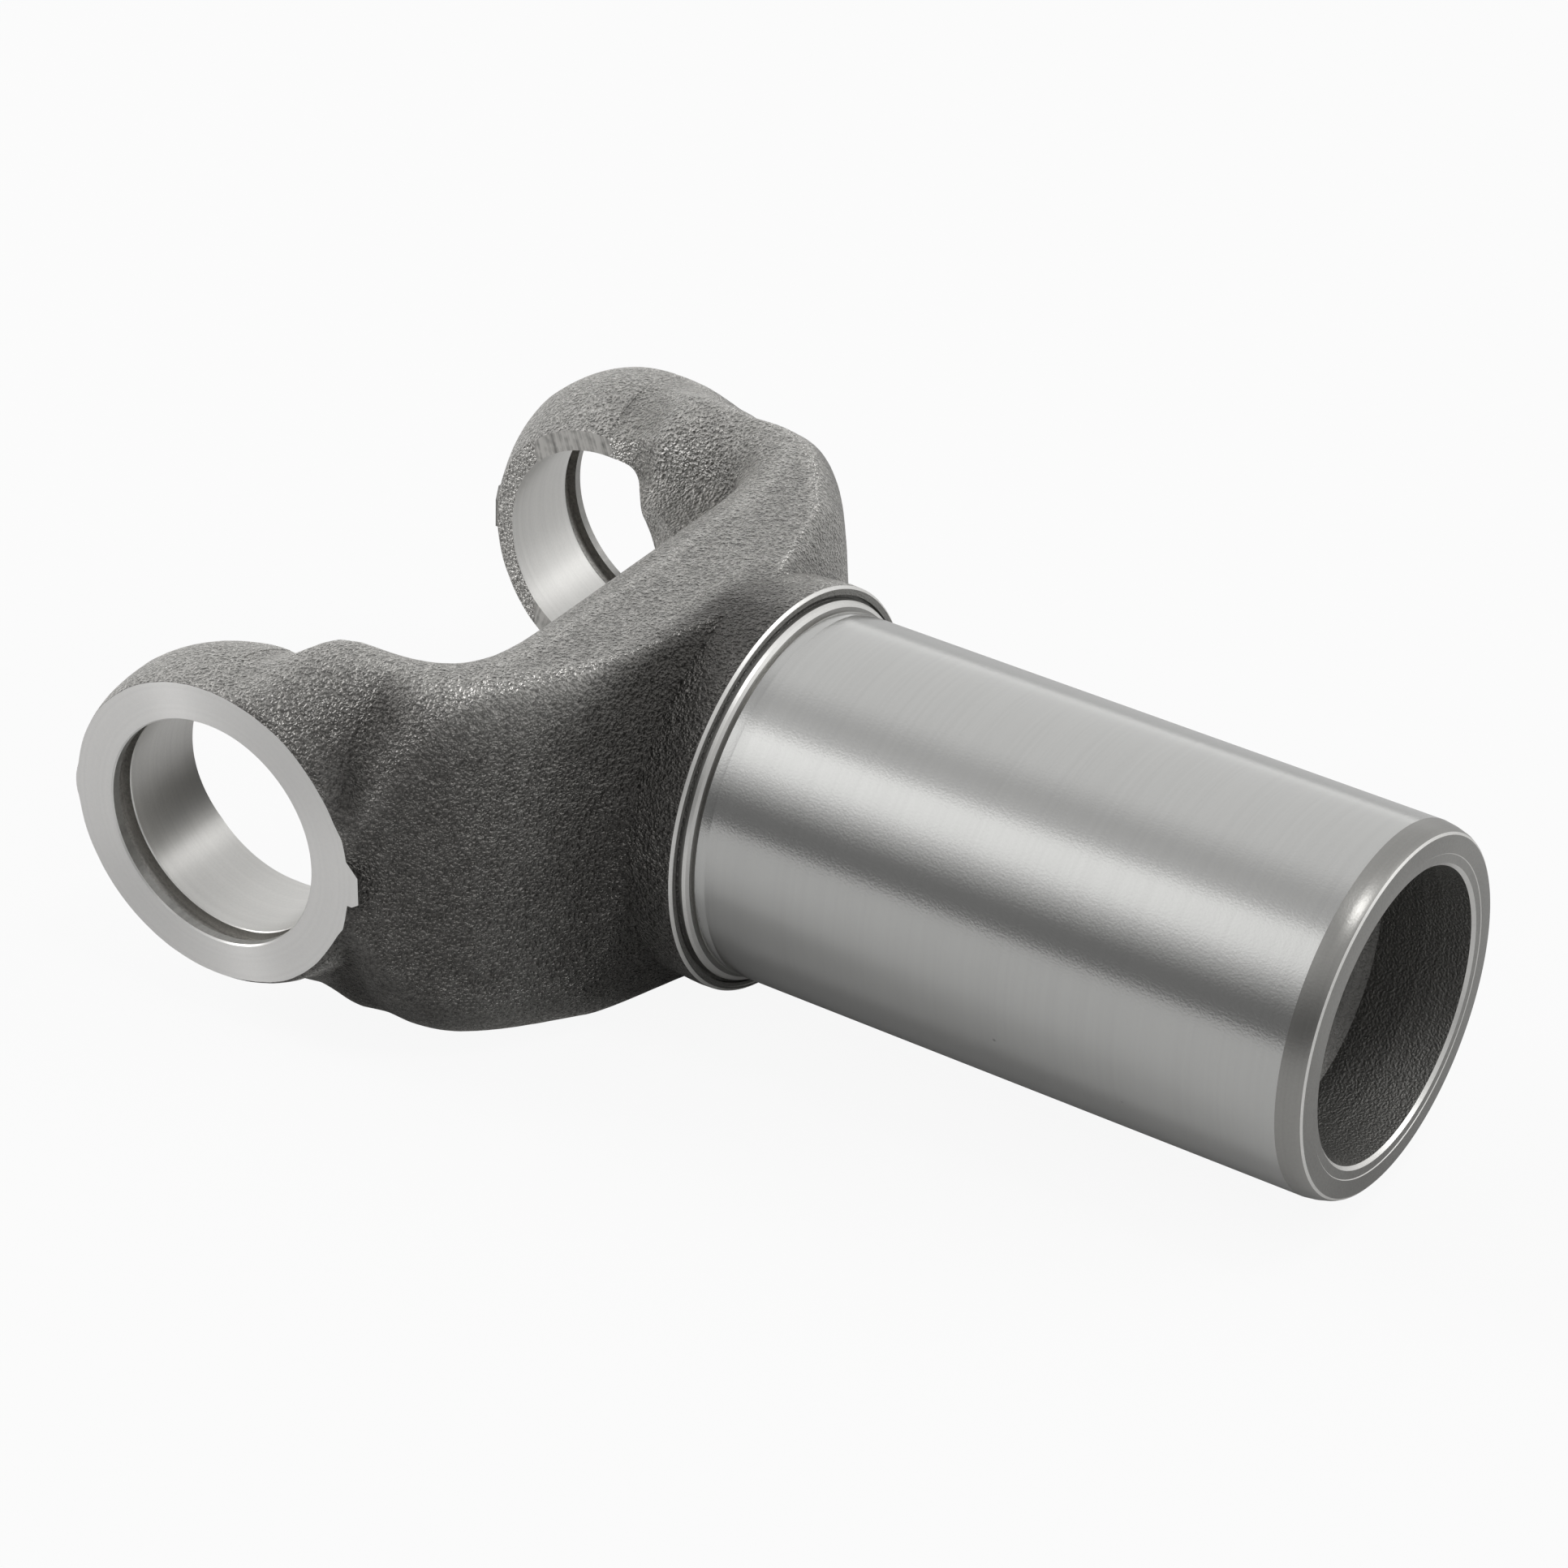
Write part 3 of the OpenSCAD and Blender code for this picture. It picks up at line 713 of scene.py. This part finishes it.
def forged_finish(colours):
    """Drop-forged and shot-blasted steel: dull, with a fine peened grain that sparkles.
    Its tone is painted light: pale on the tops and on crests, with painted shade on the outer side
    walls, on the slope down to the collar and in hollows."""
    tree, shader, place = new_finish("shot_blasted_forging")
    # Grains of 0.5 mm, as the shot leaves them, over a wider unevenness of 2.5 mm
    grain = noise_at(tree, place, Scale=2300, Detail=1.0, Roughness=0.6, Distortion=0.3)
    broad = noise_at(tree, place, Scale=400, Detail=3.0, Roughness=0.6)
    # Painted light and shade, kept per point in an attribute: lighter on tops and crests, darker
    # on side walls, the slope to the collar and hollows
    struck = add(tree, "ShaderNodeAttribute", attribute_name="struck")
    # Random broad patches added to the painted light
    patchy = calc(tree, "MULTIPLY_ADD", broad, 0.3, struck.outputs["Fac"])
    tone = add(tree, "ShaderNodeValToRGB", {"Fac": patchy},
               [(0.15, linear(colours.wall)), (1.0, linear(colours.skin))])
    pits = add(tree, "ShaderNodeValToRGB", {"Fac": grain},
               [(0.30, linear(colours.skin_pit)), (0.66, linear("#ffffff"))])
    base = add(tree, "ShaderNodeMix", {"Factor": 1.0, "A": tone, "B": pits},
               data_type="RGBA", blend_type="MULTIPLY")
    relief = calc(tree, "MULTIPLY_ADD", broad, 0.7, grain)
    bare_metal(tree, shader, base.outputs["Result"], 0.42, relief, 0.005)


def lined_finish(name, colour, roughness, axis, lines_mm, pebble_mm, stain, pitch=1400, pits=0):
    """Bare cut steel with tool marks round an axis: X, Y, or Y_FACE for rings on a flat face.
    lines_mm and pebble_mm are the depths of the tool marks and of an even grain, stain is
    what the marks take off the tone, and pitch is the number of marks in a metre."""
    tree, shader, place = new_finish(name)
    if axis == "Y_FACE":
        parts = add(tree, "ShaderNodeSeparateXYZ", {0: place}).outputs
        flat = add(tree, "ShaderNodeCombineXYZ", {"X": parts["X"], "Y": parts["Z"]})
        radius = add(tree, "ShaderNodeVectorMath", {0: flat}, operation="LENGTH")
        line = add(tree, "ShaderNodeCombineXYZ", {"X": radius.outputs["Value"]})
        # The cutter's rings spread the light across them, in a fan of pale and dark sectors
        across = add(tree, "ShaderNodeVectorMath", {0: place, 1: (1.0, 0.0, 1.0)},
                     operation="MULTIPLY")
        tree.links.new(across.outputs[0], shader.inputs["Tangent"])
        shader.inputs["Anisotropic"].default_value = 0.8
    else:
        keep = (1, 0.012, 0.012) if axis == "X" else (0.012, 1, 0.012)
        line = add(tree, "ShaderNodeMapping", {"Vector": place, "Scale": keep})
    lines = noise_at(tree, line, Scale=pitch, Detail=4.0, Roughness=0.65)
    # Clouds of 2 cm in the tone
    cloud = noise_at(tree, place, Scale=55, Detail=3.0)
    # Coarser than the real grain of 0.1 mm, which would be lost between the pixels
    fine = noise_at(tree, place, Scale=3200, Detail=1.0)
    soft = calc(tree, "MULTIPLY_ADD", cloud, 0.3, lines)
    tint = calc(tree, "MULTIPLY_ADD", fine, 0.4, soft)
    base = linear(colour)
    tone = add(tree, "ShaderNodeValToRGB", {"Fac": tint},
               [(0.62, dimmed(base, 1 - stain)), (0.98, base)])
    spot = add(tree, "ShaderNodeTexVoronoi", {"Vector": place, "Scale": 90})
    # A pit of 0.2 mm in each cell of 11 mm
    hole = add(tree, "ShaderNodeMapRange", {0: spot.outputs["Distance"], 1: 0.012, 2: 0.03,
                                            3: pits, 4: 0.0})
    pitted = add(tree, "ShaderNodeMix", {"Factor": hole, "A": tone, "B": linear("#333333")},
                 data_type="RGBA")
    deep = calc(tree, "MULTIPLY", lines, lines_mm * MM)
    height = calc(tree, "MULTIPLY_ADD", fine, pebble_mm * MM, deep)
    bare_metal(tree, shader, pitted.outputs["Result"], roughness, height, 1.0)


def pad_finish(colours, mill_r):
    """Side-milled steel: arcs of the cutter's rim, one feed apart, which catch the light."""
    tree, shader, place = new_finish("side_milled_pad")
    parts = add(tree, "ShaderNodeSeparateXYZ", {0: place}).outputs
    # An arc of the mill's radius is close to a parabola over an ear's height
    square = calc(tree, "POWER", parts["Z"], 2.0)
    arc = calc(tree, "MULTIPLY_ADD", square, 0.5 / mill_r, parts["X"])
    line = add(tree, "ShaderNodeCombineXYZ", {"X": arc})
    # A feed of about 1 mm a turn, and the torn metal between its marks
    feed = noise_at(tree, line, Scale=900, Detail=2.0, Roughness=0.7)
    tear = noise_at(tree, place, Scale=1100, Detail=2.0)
    height = calc(tree, "MULTIPLY_ADD", tear, 0.35, feed)
    base = linear(colours.pad)
    tone = add(tree, "ShaderNodeValToRGB", {"Fac": height},
               [(0.5, dimmed(base, 0.45)), (0.72, base)])
    bare_metal(tree, shader, tone.outputs[0], 0.42, height, 0.00012)


class YOKE_OT_finishes(Operator):
    """Makes the materials of the forged skin and of each machined surface"""

    bl_idname = "yoke.finishes"
    bl_label = "Steel finishes"

    def execute(self, context):
        c, sizes = context.scene.yoke_colours, context.scene.yoke_sizes
        forged_finish(c)
        pad_finish(c, sizes.facing_r)
        # Name, colour, roughness, axis, depth of the marks and of the grain, stain, pitch, pits
        for row in (
            # Fly-cut: a clean light face with hardly visible rings round the bore
            ("milled_ear_face", c.milled, 0.48, "Y_FACE", 0.002, 0.004, 0.05),
            # Fine-bored: smooth wall with faint threads of feed
            ("bored_cap_wall", c.bored, 0.36, "Y", 0.002, 0.002, 0.08),
            # Turned with a form tool: coarse and dull
            ("turned_groove", c.groove, 0.45, "Y", 0.04, 0.01, 0.6),
            # Centreless ground: satin, with a pearly grain, faint rings and a few pits
            ("ground_barrel", c.ground, 0.2, "X", 0.0004, 0.012, 0.04, 1400, 0.5),
            # Turned: rings of the feed that dull the faces and the lead-in
            ("turned_shoulder", c.turned, 0.36, "X", 0.012, 0.01, 0.25),
            ("turned_lead_in", c.turned, 0.34, "X", 0.006, 0.01, 0.1),
            # Fresh chamfers and broken edges: bright lines round the faces, with a painted
            # highlight in their pale colour
            ("bright_turned_edge", c.edge, 0.4, "X", 0.002, 0.003, 0.1),
            # Bored and left dull: the threads of feed and a torn grain can be seen
            ("bored_counterbore", c.counterbore, 0.6, "X", 0.01, 0.2, 0.3),
            # Broached: flanks deep in the bore, with painted shade in their dark colour
            ("broached_spline", c.spline, 0.4, "Y", 0.01, 0.01, 0.3),
            # Sheared in the trimming press: coarse marks across the parting line
            ("trimmed_flash", c.turned, 0.45, "Y", 0.02, 0.02, 0.5, 900),
        ):
            lined_finish(*row)
        return {"FINISHED"}


def bend(bm, passes=5, keep=0.3):
    """Curvature of the skin at each vertex in 1/mm: crests are positive. Each pass evens it
    out and keeps this share of a vertex's own value."""
    bm.verts.index_update()
    skin, least = FINISH["shot_blasted_forging"], 0.01 * MM
    ends, value = [], []
    for edge in bm.edges:
        if len(edge.link_faces) == 2 and all(f.material_index == skin for f in edge.link_faces):
            one, two = (face.calc_center_median() for face in edge.link_faces)
            ends.append([vert.index for vert in edge.verts])
            value.append(edge.calc_face_angle_signed(0.0) * MM / max((one - two).length, least))
    a, b = np.array(ends).T
    total, count = np.zeros(len(bm.verts)), np.zeros(len(bm.verts))
    for end in (a, b):
        np.add.at(total, end, value)
        np.add.at(count, end, 1)
    count = np.maximum(count, 1)
    result = total / count
    for _ in range(passes):
        near = np.zeros(len(result))
        np.add.at(near, a, result[b])
        np.add.at(near, b, result[a])
        result = keep * result + (1 - keep) * near / count
    return result


class YOKE_OT_forging(Operator):
    """Builds the yoke: forged blank, crotch, turned barrel, bores and machined faces"""

    bl_idname = "yoke.forging"
    bl_label = "Slip yoke"

    # Curvature in 1/mm at which a crest's painted highlight or a hollow's painted shade starts to
    # show, and its range
    crest_from, hollow_from = (0.03, 0.09), (0.02, 0.08)
    # Painted highlight that a crest gains, the share of it on the painted shade of the walls, and
    # the painted shade that a hollow takes
    crest_gain, crest_bare, hollow_loss = 0.4, 0.3, 0.12
    # Doubles lie closer than this, and an edge is sharp from this angle on
    weld, sharp = 0.001 * MM, math.radians(30)

    def execute(self, context):
        form = Forging(context.scene.yoke_sizes)
        yoke = linked(self.blank(form))
        for mesh in self.crotch(form):
            combine(yoke, mesh, "DIFFERENCE")
        combine(yoke, self.turned(form), "UNION")
        for mesh in self.flash(form):
            combine(yoke, mesh, "UNION")
        for mesh in self.cuts(form):
            combine(yoke, mesh, "DIFFERENCE")
        self.finish(yoke, form)
        return {"FINISHED"}

    def blank(self, form):
        # Stations by angle round the tip, then by even steps from the bore axis
        tip, step = form.tip_r + form.crown, 0.55
        stations = [-tip * math.sin(math.radians(a)) for a in np.arange(88.5, 1, -1.5)]
        stations += list(np.arange(0, form.blank_end, step)) + [form.blank_end]
        return loft("blank", [form.section(x) for x in stations], "shot_blasted_forging",
                    lambda p: -form.swell(p))

    def crotch(self, form):
        """The opening in the saddle, and the room between the ears on the tip side."""
        # Levels by share of the height above the slices, closer where the edges are rounded
        levels = [0, .12, .25, .36, .48, .54, .6, .635, .67, .705, .74, .77, .8, .83, .86,
                  .885, .91, .93, .95, .965, .98, .99, .996, 1, 2]
        rest = form.body_hh - form.level_z
        high = [form.crotch_ring(s, form.level_z + min(s, 1) * rest) for s in levels]
        slices = np.arange(1 - form.level_z, form.level_z, 1.0)
        low = [[(x, y, z) for x, y, _ in form.crotch_ring(0, z)] for z in slices]
        under = [[(x, y, -z) for x, y, z in ring] for ring in high[::-1]]
        yield loft("crotch", under + low + high, "shot_blasted_forging", form.swell)
        # At the bore axis, where the two meet, the room stays as it is drawn
        angles = [math.radians(a) for a in range(0, 181, 3)]
        yield loft("tip_room", [form.tip_ring(levels, a) for a in angles],
                   "shot_blasted_forging", lambda p: form.swell(p) if p.x < -0.01 else 0.0)

    def turned(self, form):
        """Collar, barrel and mouth, as places, radii and the finish of what follows each."""
        x, end, mouth = form.collar_x, form.reach, form.mouth_chamfer
        r, rim, lead, drop = form.barrel_r, form.collar_r, form.lead_len, form.lead_drop
        waist, inner = form.waist_r, form.counterbore_d / 2
        skin, face, edge, dull, lap, ground = (
            "shot_blasted_forging", "turned_shoulder", "bright_turned_edge",
            "bored_counterbore", "turned_lead_in", "ground_barrel",
        )
        profile = [
            # The waist under the forged skin, and the collar's rim
            (x - 12, 0, face), (x - 12, waist - 1.4, skin), (x - 6, waist - 0.1, skin),
            (x - 4.4, waist, skin), (x - 2.7, rim - 0.05, skin), (x - 1.7, rim, skin),
            # Its broken edge with a painted highlight, a narrow flat and a fine recess in its face
            (x - 0.35, rim - 0.05, edge), (x - 0.05, rim - 0.3, edge), (x, rim - 0.4, dull),
            (x, rim - 0.65, face), (x - 0.05, rim - 0.75, dull), (x - 0.05, rim - 1.15, dull),
            (x - 0.6, rim - 1.2, dull), (x - 0.6, rim - 1.6, dull),
            # Rounded step with a painted highlight on its edge, the wheel's relief and the line
            # that it left
            (x, r + 1.1, face), (x + 0.45, r + 1.05, edge), (x + 0.85, r + 0.85, edge),
            (x + 1.1, r + 0.4, face), (x + 1.25, r - 0.1, face), (x + 1.6, r, ground),
            (x + 2.9, r, ground), (x + 3.0, r - 0.02, ground), (x + 3.1, r, ground),
            # Lead-in, slightly crowned, and the mouth's chamfer with a painted highlight
            (end - mouth - lead, r, lap), (end - mouth - lead / 2, r - drop * 0.3, lap),
            (end - mouth - 0.1, r - drop * 0.85, lap),
            (end - mouth * 0.45, r - drop - mouth * 0.25, edge),
            (end - mouth * 0.1, r - drop - mouth * 0.75, face),
            # End face, with a ring of painted highlight round the counterbore
            (end, r - drop - mouth * 1.1, face), (end, inner + 1.6, edge),
            (end - 0.08, inner + 1.5, face), (end - 0.08, 0, face),
        ]
        return revolve("turned", [p[:2] for p in profile], "X", [p[2] for p in profile])

    def flash(self, form):
        """What the trimming left at the parting line, as outlines in millimetres: a stub at the
        barrel end of each face, a patch at each ear's tip."""
        rx, pad, tip, inside = form.face_rx, form.pad_y, form.tip_r, -form.bore_r - 1
        stub = [(rx - 1, 4.0), (rx + 1.1, 1.8), (rx + 1.2, -1.9), (rx + 0.2, -2.6), (rx - 1, -2.6)]
        patch = [(inside, pad + 1.2), (2.2 - tip, pad + 1.2), (0.35 - tip, pad + 4.4),
                 (0.35 - tip, pad + 5.4), (inside, pad + 5.4)]
        for side in (-1, 1):
            yield loft("stub", [[(x, side * y, z) for x, z in stub]
                                for y in (form.face_y - 2.5, form.face_y + form.over)],
                       "shot_blasted_forging", fan=True)
            yield loft("patch", [[(x, side * y, z) for x, y in patch] for z in (-2, 2)],
                       "trimmed_flash", fan=True)

    def cuts(self, form):
        """What the machining takes away: faces, pads, cap bores and the barrel's bore."""
        face, pad, over = form.face_y, form.pad_y, form.over
        far, thick = 60, 20
        corners = [(-far, -far), (far, -far), (far, far), (-far, far)]
        for side in (-1, 1):
            yield loft("face_cut", [[(x, y, z) for x, z in corners]
                                    for y in (side * face, side * (face + thick))],
                       "milled_ear_face", fan=True)
        mill_r = form.facing_r
        mill = revolve("side_mill", [(-pad, 0), (-pad, mill_r), (pad, mill_r), (pad, 0)],
                       "Y", ["side_milled_pad"] * 3, turns=256)
        mill.transform(Matrix.Translation(((form.facing_x - mill_r) * MM, 0, 0)))
        yield mill
        # Cap bore with the groove, its inner edge bright with a painted highlight, and the land
        # outside it
        b, g, c = form.bore_r, form.bore_r + form.groove_depth, form.bore_chamfer
        outer = face - form.groove_land
        inner = outer - form.groove_w
        half = [(inner - 0.18, b), (inner, b + 0.12), (inner, g), (outer, g), (outer, b),
                (face - c, b), (face + over, b + c + over), (face + over, 0)]
        marks = ["bright_turned_edge", "turned_groove", "turned_groove", "turned_groove",
                 "turned_shoulder", "milled_ear_face", "milled_ear_face"]
        yield revolve("cap_bore", [(-y, r) for y, r in half[::-1]] + half, "Y",
                      marks[::-1] + ["bored_cap_wall"] + marks)
        # Plug seat, spline bore, cone and counterbore, and the mouth's inner edge with a painted
        # highlight
        wide, tip, seat = form.counterbore_d / 2, form.spline_tip_d / 2, form.seat_d / 2
        end, bottom, seat_end = form.reach, form.reach - form.counterbore_depth, form.crotch_x + 6
        dull, edge = "bored_counterbore", "bright_turned_edge"
        profile = [
            (0, 0, dull), (0, seat, dull), (seat_end, seat, dull),
            (seat_end, tip, "broached_spline"), (bottom - wide + tip, tip, dull),
            (bottom, wide, dull), (end - form.mouth_edge, wide, edge),
            (end + over, wide + form.mouth_edge + over, edge), (end + over, 0, edge),
        ]
        yield revolve("barrel_bore", [p[:2] for p in profile], "X", [p[2] for p in profile])
        yield broach_mesh(form, bottom - seat_end + 2 * over, (bottom + seat_end) / 2 - over)

    def finish(self, yoke, form):
        """Welds the mesh, keeps the cut edges sharp and hands it to the frame."""
        bm = bmesh.new()
        bm.from_mesh(yoke.data)
        bmesh.ops.remove_doubles(bm, verts=bm.verts, dist=self.weld)
        bmesh.ops.dissolve_degenerate(bm, edges=bm.edges, dist=self.weld)
        bmesh.ops.triangulate(bm, faces=bm.faces)
        # Welding can leave a flap: two faces on the same three points, which both go
        flaps = {}
        for face in bm.faces:
            face.smooth = True
            flaps.setdefault(frozenset(face.verts), []).append(face)
        double = [face for same in flaps.values() if len(same) > 1 for face in same]
        bmesh.ops.delete(bm, geom=double, context="FACES")
        for edge in bm.edges:
            finishes = {face.material_index for face in edge.link_faces}
            edge.smooth = (
                len(edge.link_faces) == 2 and len(finishes) == 1
                and edge.calc_face_angle(0.0) < self.sharp
            )
        bm.normal_update()
        # Painted light for the skin's tone: the share from place and normal, a painted highlight
        # on crests and painted shade in hollows
        struck = np.array([form.struck(vert.co / MM, vert.normal) for vert in bm.verts])
        curve = bend(bm)
        crest, hollow = (
            np.clip((way * curve - start) / run, 0, 1)
            for way, (start, run) in ((1, self.crest_from), (-1, self.hollow_from))
        )
        struck += self.crest_gain * crest * (self.crest_bare + (1 - self.crest_bare) * struck)
        struck -= self.hollow_loss * hollow
        bm.to_mesh(yoke.data)
        bm.free()
        yoke.data.attributes.new("struck", "FLOAT", "POINT").data.foreach_set("value", struck)
        yoke.name = "slip_yoke_forging"
        yoke.data.name = yoke.name
        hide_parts(NODE)
        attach(yoke, BODY)


class YOKE_OT_studio(Operator):
    """Sets the white floor, the soft room light and the camera of the photograph"""

    bl_idname = "yoke.studio"
    bl_label = "Studio"

    # Share of plain white that the camera sees in the floor, so that the shadow stays faint,
    # and the little of it that is mirrored beside the floor and the room as they are lit
    floor_white, mirrored_white = 0.92, 0.03
    # Radiance of the room from the front horizon over the zenith to the horizon at the back:
    # a dark gap, a long soft box, another gap, the pale ceiling and the pale back wall
    arch = ((0.0, 0.16), (0.10, 0.16), (0.17, 0.53), (0.24, 1.1), (0.35, 1.2),
            (0.39, 0.58), (0.48, 0.50), (0.58, 0.77), (0.94, 0.83), (1.0, 1.2))
    # From left to right: the soft box ends to the right of the barrel's reflection
    ends = ((0.3, 1.0), (0.45, 0.5), (0.7, 0.5), (1.0, 0.6))
    # Shares of the arch between which that end fades, and how much of it then stays
    end_from, end_to, end_least = 0.36, 0.5, 0.3
    lamp_distance = 1.5

    def execute(self, context):
        setup = context.scene.yoke_studio
        self.floor(setup)
        self.room(context, setup)
        self.lamps(context, setup)
        self.camera(context, setup)
        context.scene.view_settings.view_transform = "Standard"
        return {"FINISHED"}

    def white_share(self, tree, seen):
        """Share of plain white in what a ray meets: seen for the camera, little in mirrors."""
        path = add(tree, "ShaderNodeLightPath").outputs
        mirrored = calc(tree, "MAXIMUM", path["Is Glossy Ray"], path["Is Transmission Ray"])
        little = calc(tree, "MULTIPLY", mirrored, self.mirrored_white)
        return calc(tree, "MULTIPLY_ADD", path["Is Camera Ray"], seen, little)

    def floor(self, setup):
        low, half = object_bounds()[0][2], setup.floor_size / 2
        mesh = bpy.data.meshes.new("floor")
        corners = [(-half, -half, low), (half, -half, low), (half, half, low), (-half, half, low)]
        mesh.from_pydata(corners, [], [(0, 1, 2, 3)])
        floor = linked(mesh)
        material = bpy.data.materials.new("white_floor_board")
        tree = cleared(material)
        matte = add(tree, "ShaderNodeBsdfDiffuse", {"Color": linear("#c8c8c8")})
        white = add(tree, "ShaderNodeEmission", {"Color": linear("#ffffff"), "Strength": 1.0})
        both = add(tree, "ShaderNodeMixShader", {0: self.white_share(tree, self.floor_white),
                                                 1: matte, 2: white})
        add(tree, "ShaderNodeOutputMaterial", {"Surface": both})
        mesh.materials.append(material)
        floor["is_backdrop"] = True

    def room(self, context, setup):
        """A room that is dark above the front horizon, with a long soft box, and pale behind."""
        world = bpy.data.worlds.new("studio_room")
        context.scene.world = world
        tree = cleared(world)
        way = add(tree, "ShaderNodeTexCoord").outputs["Generated"]
        parts = add(tree, "ShaderNodeSeparateXYZ", {0: way})
        front = calc(tree, "MULTIPLY", parts.outputs["Y"], -1.0)
        angle = calc(tree, "ARCTAN2", parts.outputs["Z"], front)
        share = calc(tree, "DIVIDE", angle, math.pi)
        along = add(tree, "ShaderNodeMapRange", {0: parts.outputs["X"], 1: -1.0, 2: 1.0})
        light, fade = (
            add(tree, "ShaderNodeValToRGB", {"Fac": node},
                [(at, (v, v, v, 1.0)) for at, v in levels])
            for node, levels in ((share, self.arch), (along, self.ends))
        )
        part = add(tree, "ShaderNodeMapRange", {0: share, 1: self.end_from,
                                                2: self.end_to, 3: 1.0, 4: self.end_least})
        seen = add(tree, "ShaderNodeMix", {"Factor": part, "A": light, "B": fade},
                   data_type="RGBA", blend_type="MULTIPLY")
        room = add(tree, "ShaderNodeBackground", {"Color": seen.outputs["Result"],
                                                  "Strength": setup.fill})
        white = add(tree, "ShaderNodeBackground", {"Color": linear("#ffffff"), "Strength": 1.0})
        both = add(tree, "ShaderNodeMixShader", {0: self.white_share(tree, 1.0),
                                                 1: room, 2: white})
        add(tree, "ShaderNodeOutputWorld", {"Surface": both})

    def lamps(self, context, setup):
        """Three lamps clear of the barrel's reflection: one high on the right for the turned
        edges and the mouth, one on the left and one overhead that draw out the forged skin."""
        for name, way, size, power in (
            ("right_lamp", (0.68, 0.45, 0.58), 0.6, setup.right_lamp),
            ("left_lamp", (-0.85, -0.20, 0.48), 0.45, setup.left_lamp),
            ("top_lamp", (0.30, -0.05, 0.95), 0.3, setup.top_lamp),
        ):
            data = bpy.data.lights.new(name, "AREA")
            data.size = size
            data.energy = power
            lamp = bpy.data.objects.new(name, data)
            way = Vector(way).normalized()
            turn = way.to_track_quat("Z", "Y").to_matrix().to_4x4()
            lamp.matrix_world = Matrix.Translation(way * self.lamp_distance) @ turn
            context.scene.collection.objects.link(lamp)

    def camera(self, context, setup):
        """The view that was found from the rings, bores and faces in the photograph."""
        data = bpy.data.cameras.new("photo_camera")
        data.lens = setup.lens
        data.sensor_width = 36
        camera = bpy.data.objects.new("photo_camera", data)
        right = Vector((0.8338216, 0.5512611, 0.0292025))
        down = Vector((0.3121771, -0.4272397, -0.8485350))
        ahead = Vector((-0.4552879, 0.7166432, -0.5283328))
        place = Vector((392.989, -539.666, 398.316)) * MM
        turn = Matrix((right, -down, -ahead)).transposed().to_4x4()
        camera.matrix_world = Matrix.Translation(place) @ turn
        context.scene.collection.objects.link(camera)
        context.scene.camera = camera


class YOKE_PT_sidebar(Panel):
    """Lists the steps of the build"""

    bl_label = "Forged Slip Yoke"
    bl_idname = "YOKE_PT_sidebar"
    bl_space_type = "VIEW_3D"
    bl_region_type = "UI"
    bl_category = "Yoke"

    def draw(self, context):
        for operator in (YOKE_OT_finishes, YOKE_OT_forging, YOKE_OT_studio):
            self.layout.operator(operator.bl_idname)


CLASSES = (
    YokeSizes, YokeColours, StudioSetup,
    YOKE_OT_finishes, YOKE_OT_forging, YOKE_OT_studio, YOKE_PT_sidebar,
)


def register():
    for cls in CLASSES:
        bpy.utils.register_class(cls)
    bpy.types.Scene.yoke_sizes = PointerProperty(type=YokeSizes)
    bpy.types.Scene.yoke_colours = PointerProperty(type=YokeColours)
    bpy.types.Scene.yoke_studio = PointerProperty(type=StudioSetup)


def unregister():
    del bpy.types.Scene.yoke_sizes, bpy.types.Scene.yoke_colours, bpy.types.Scene.yoke_studio
    for cls in reversed(CLASSES):
        bpy.utils.unregister_class(cls)


def main():
    register()
    bpy.ops.yoke.finishes()
    bpy.ops.yoke.forging()
    bpy.ops.yoke.studio()


if __name__ == "__main__":
    main()
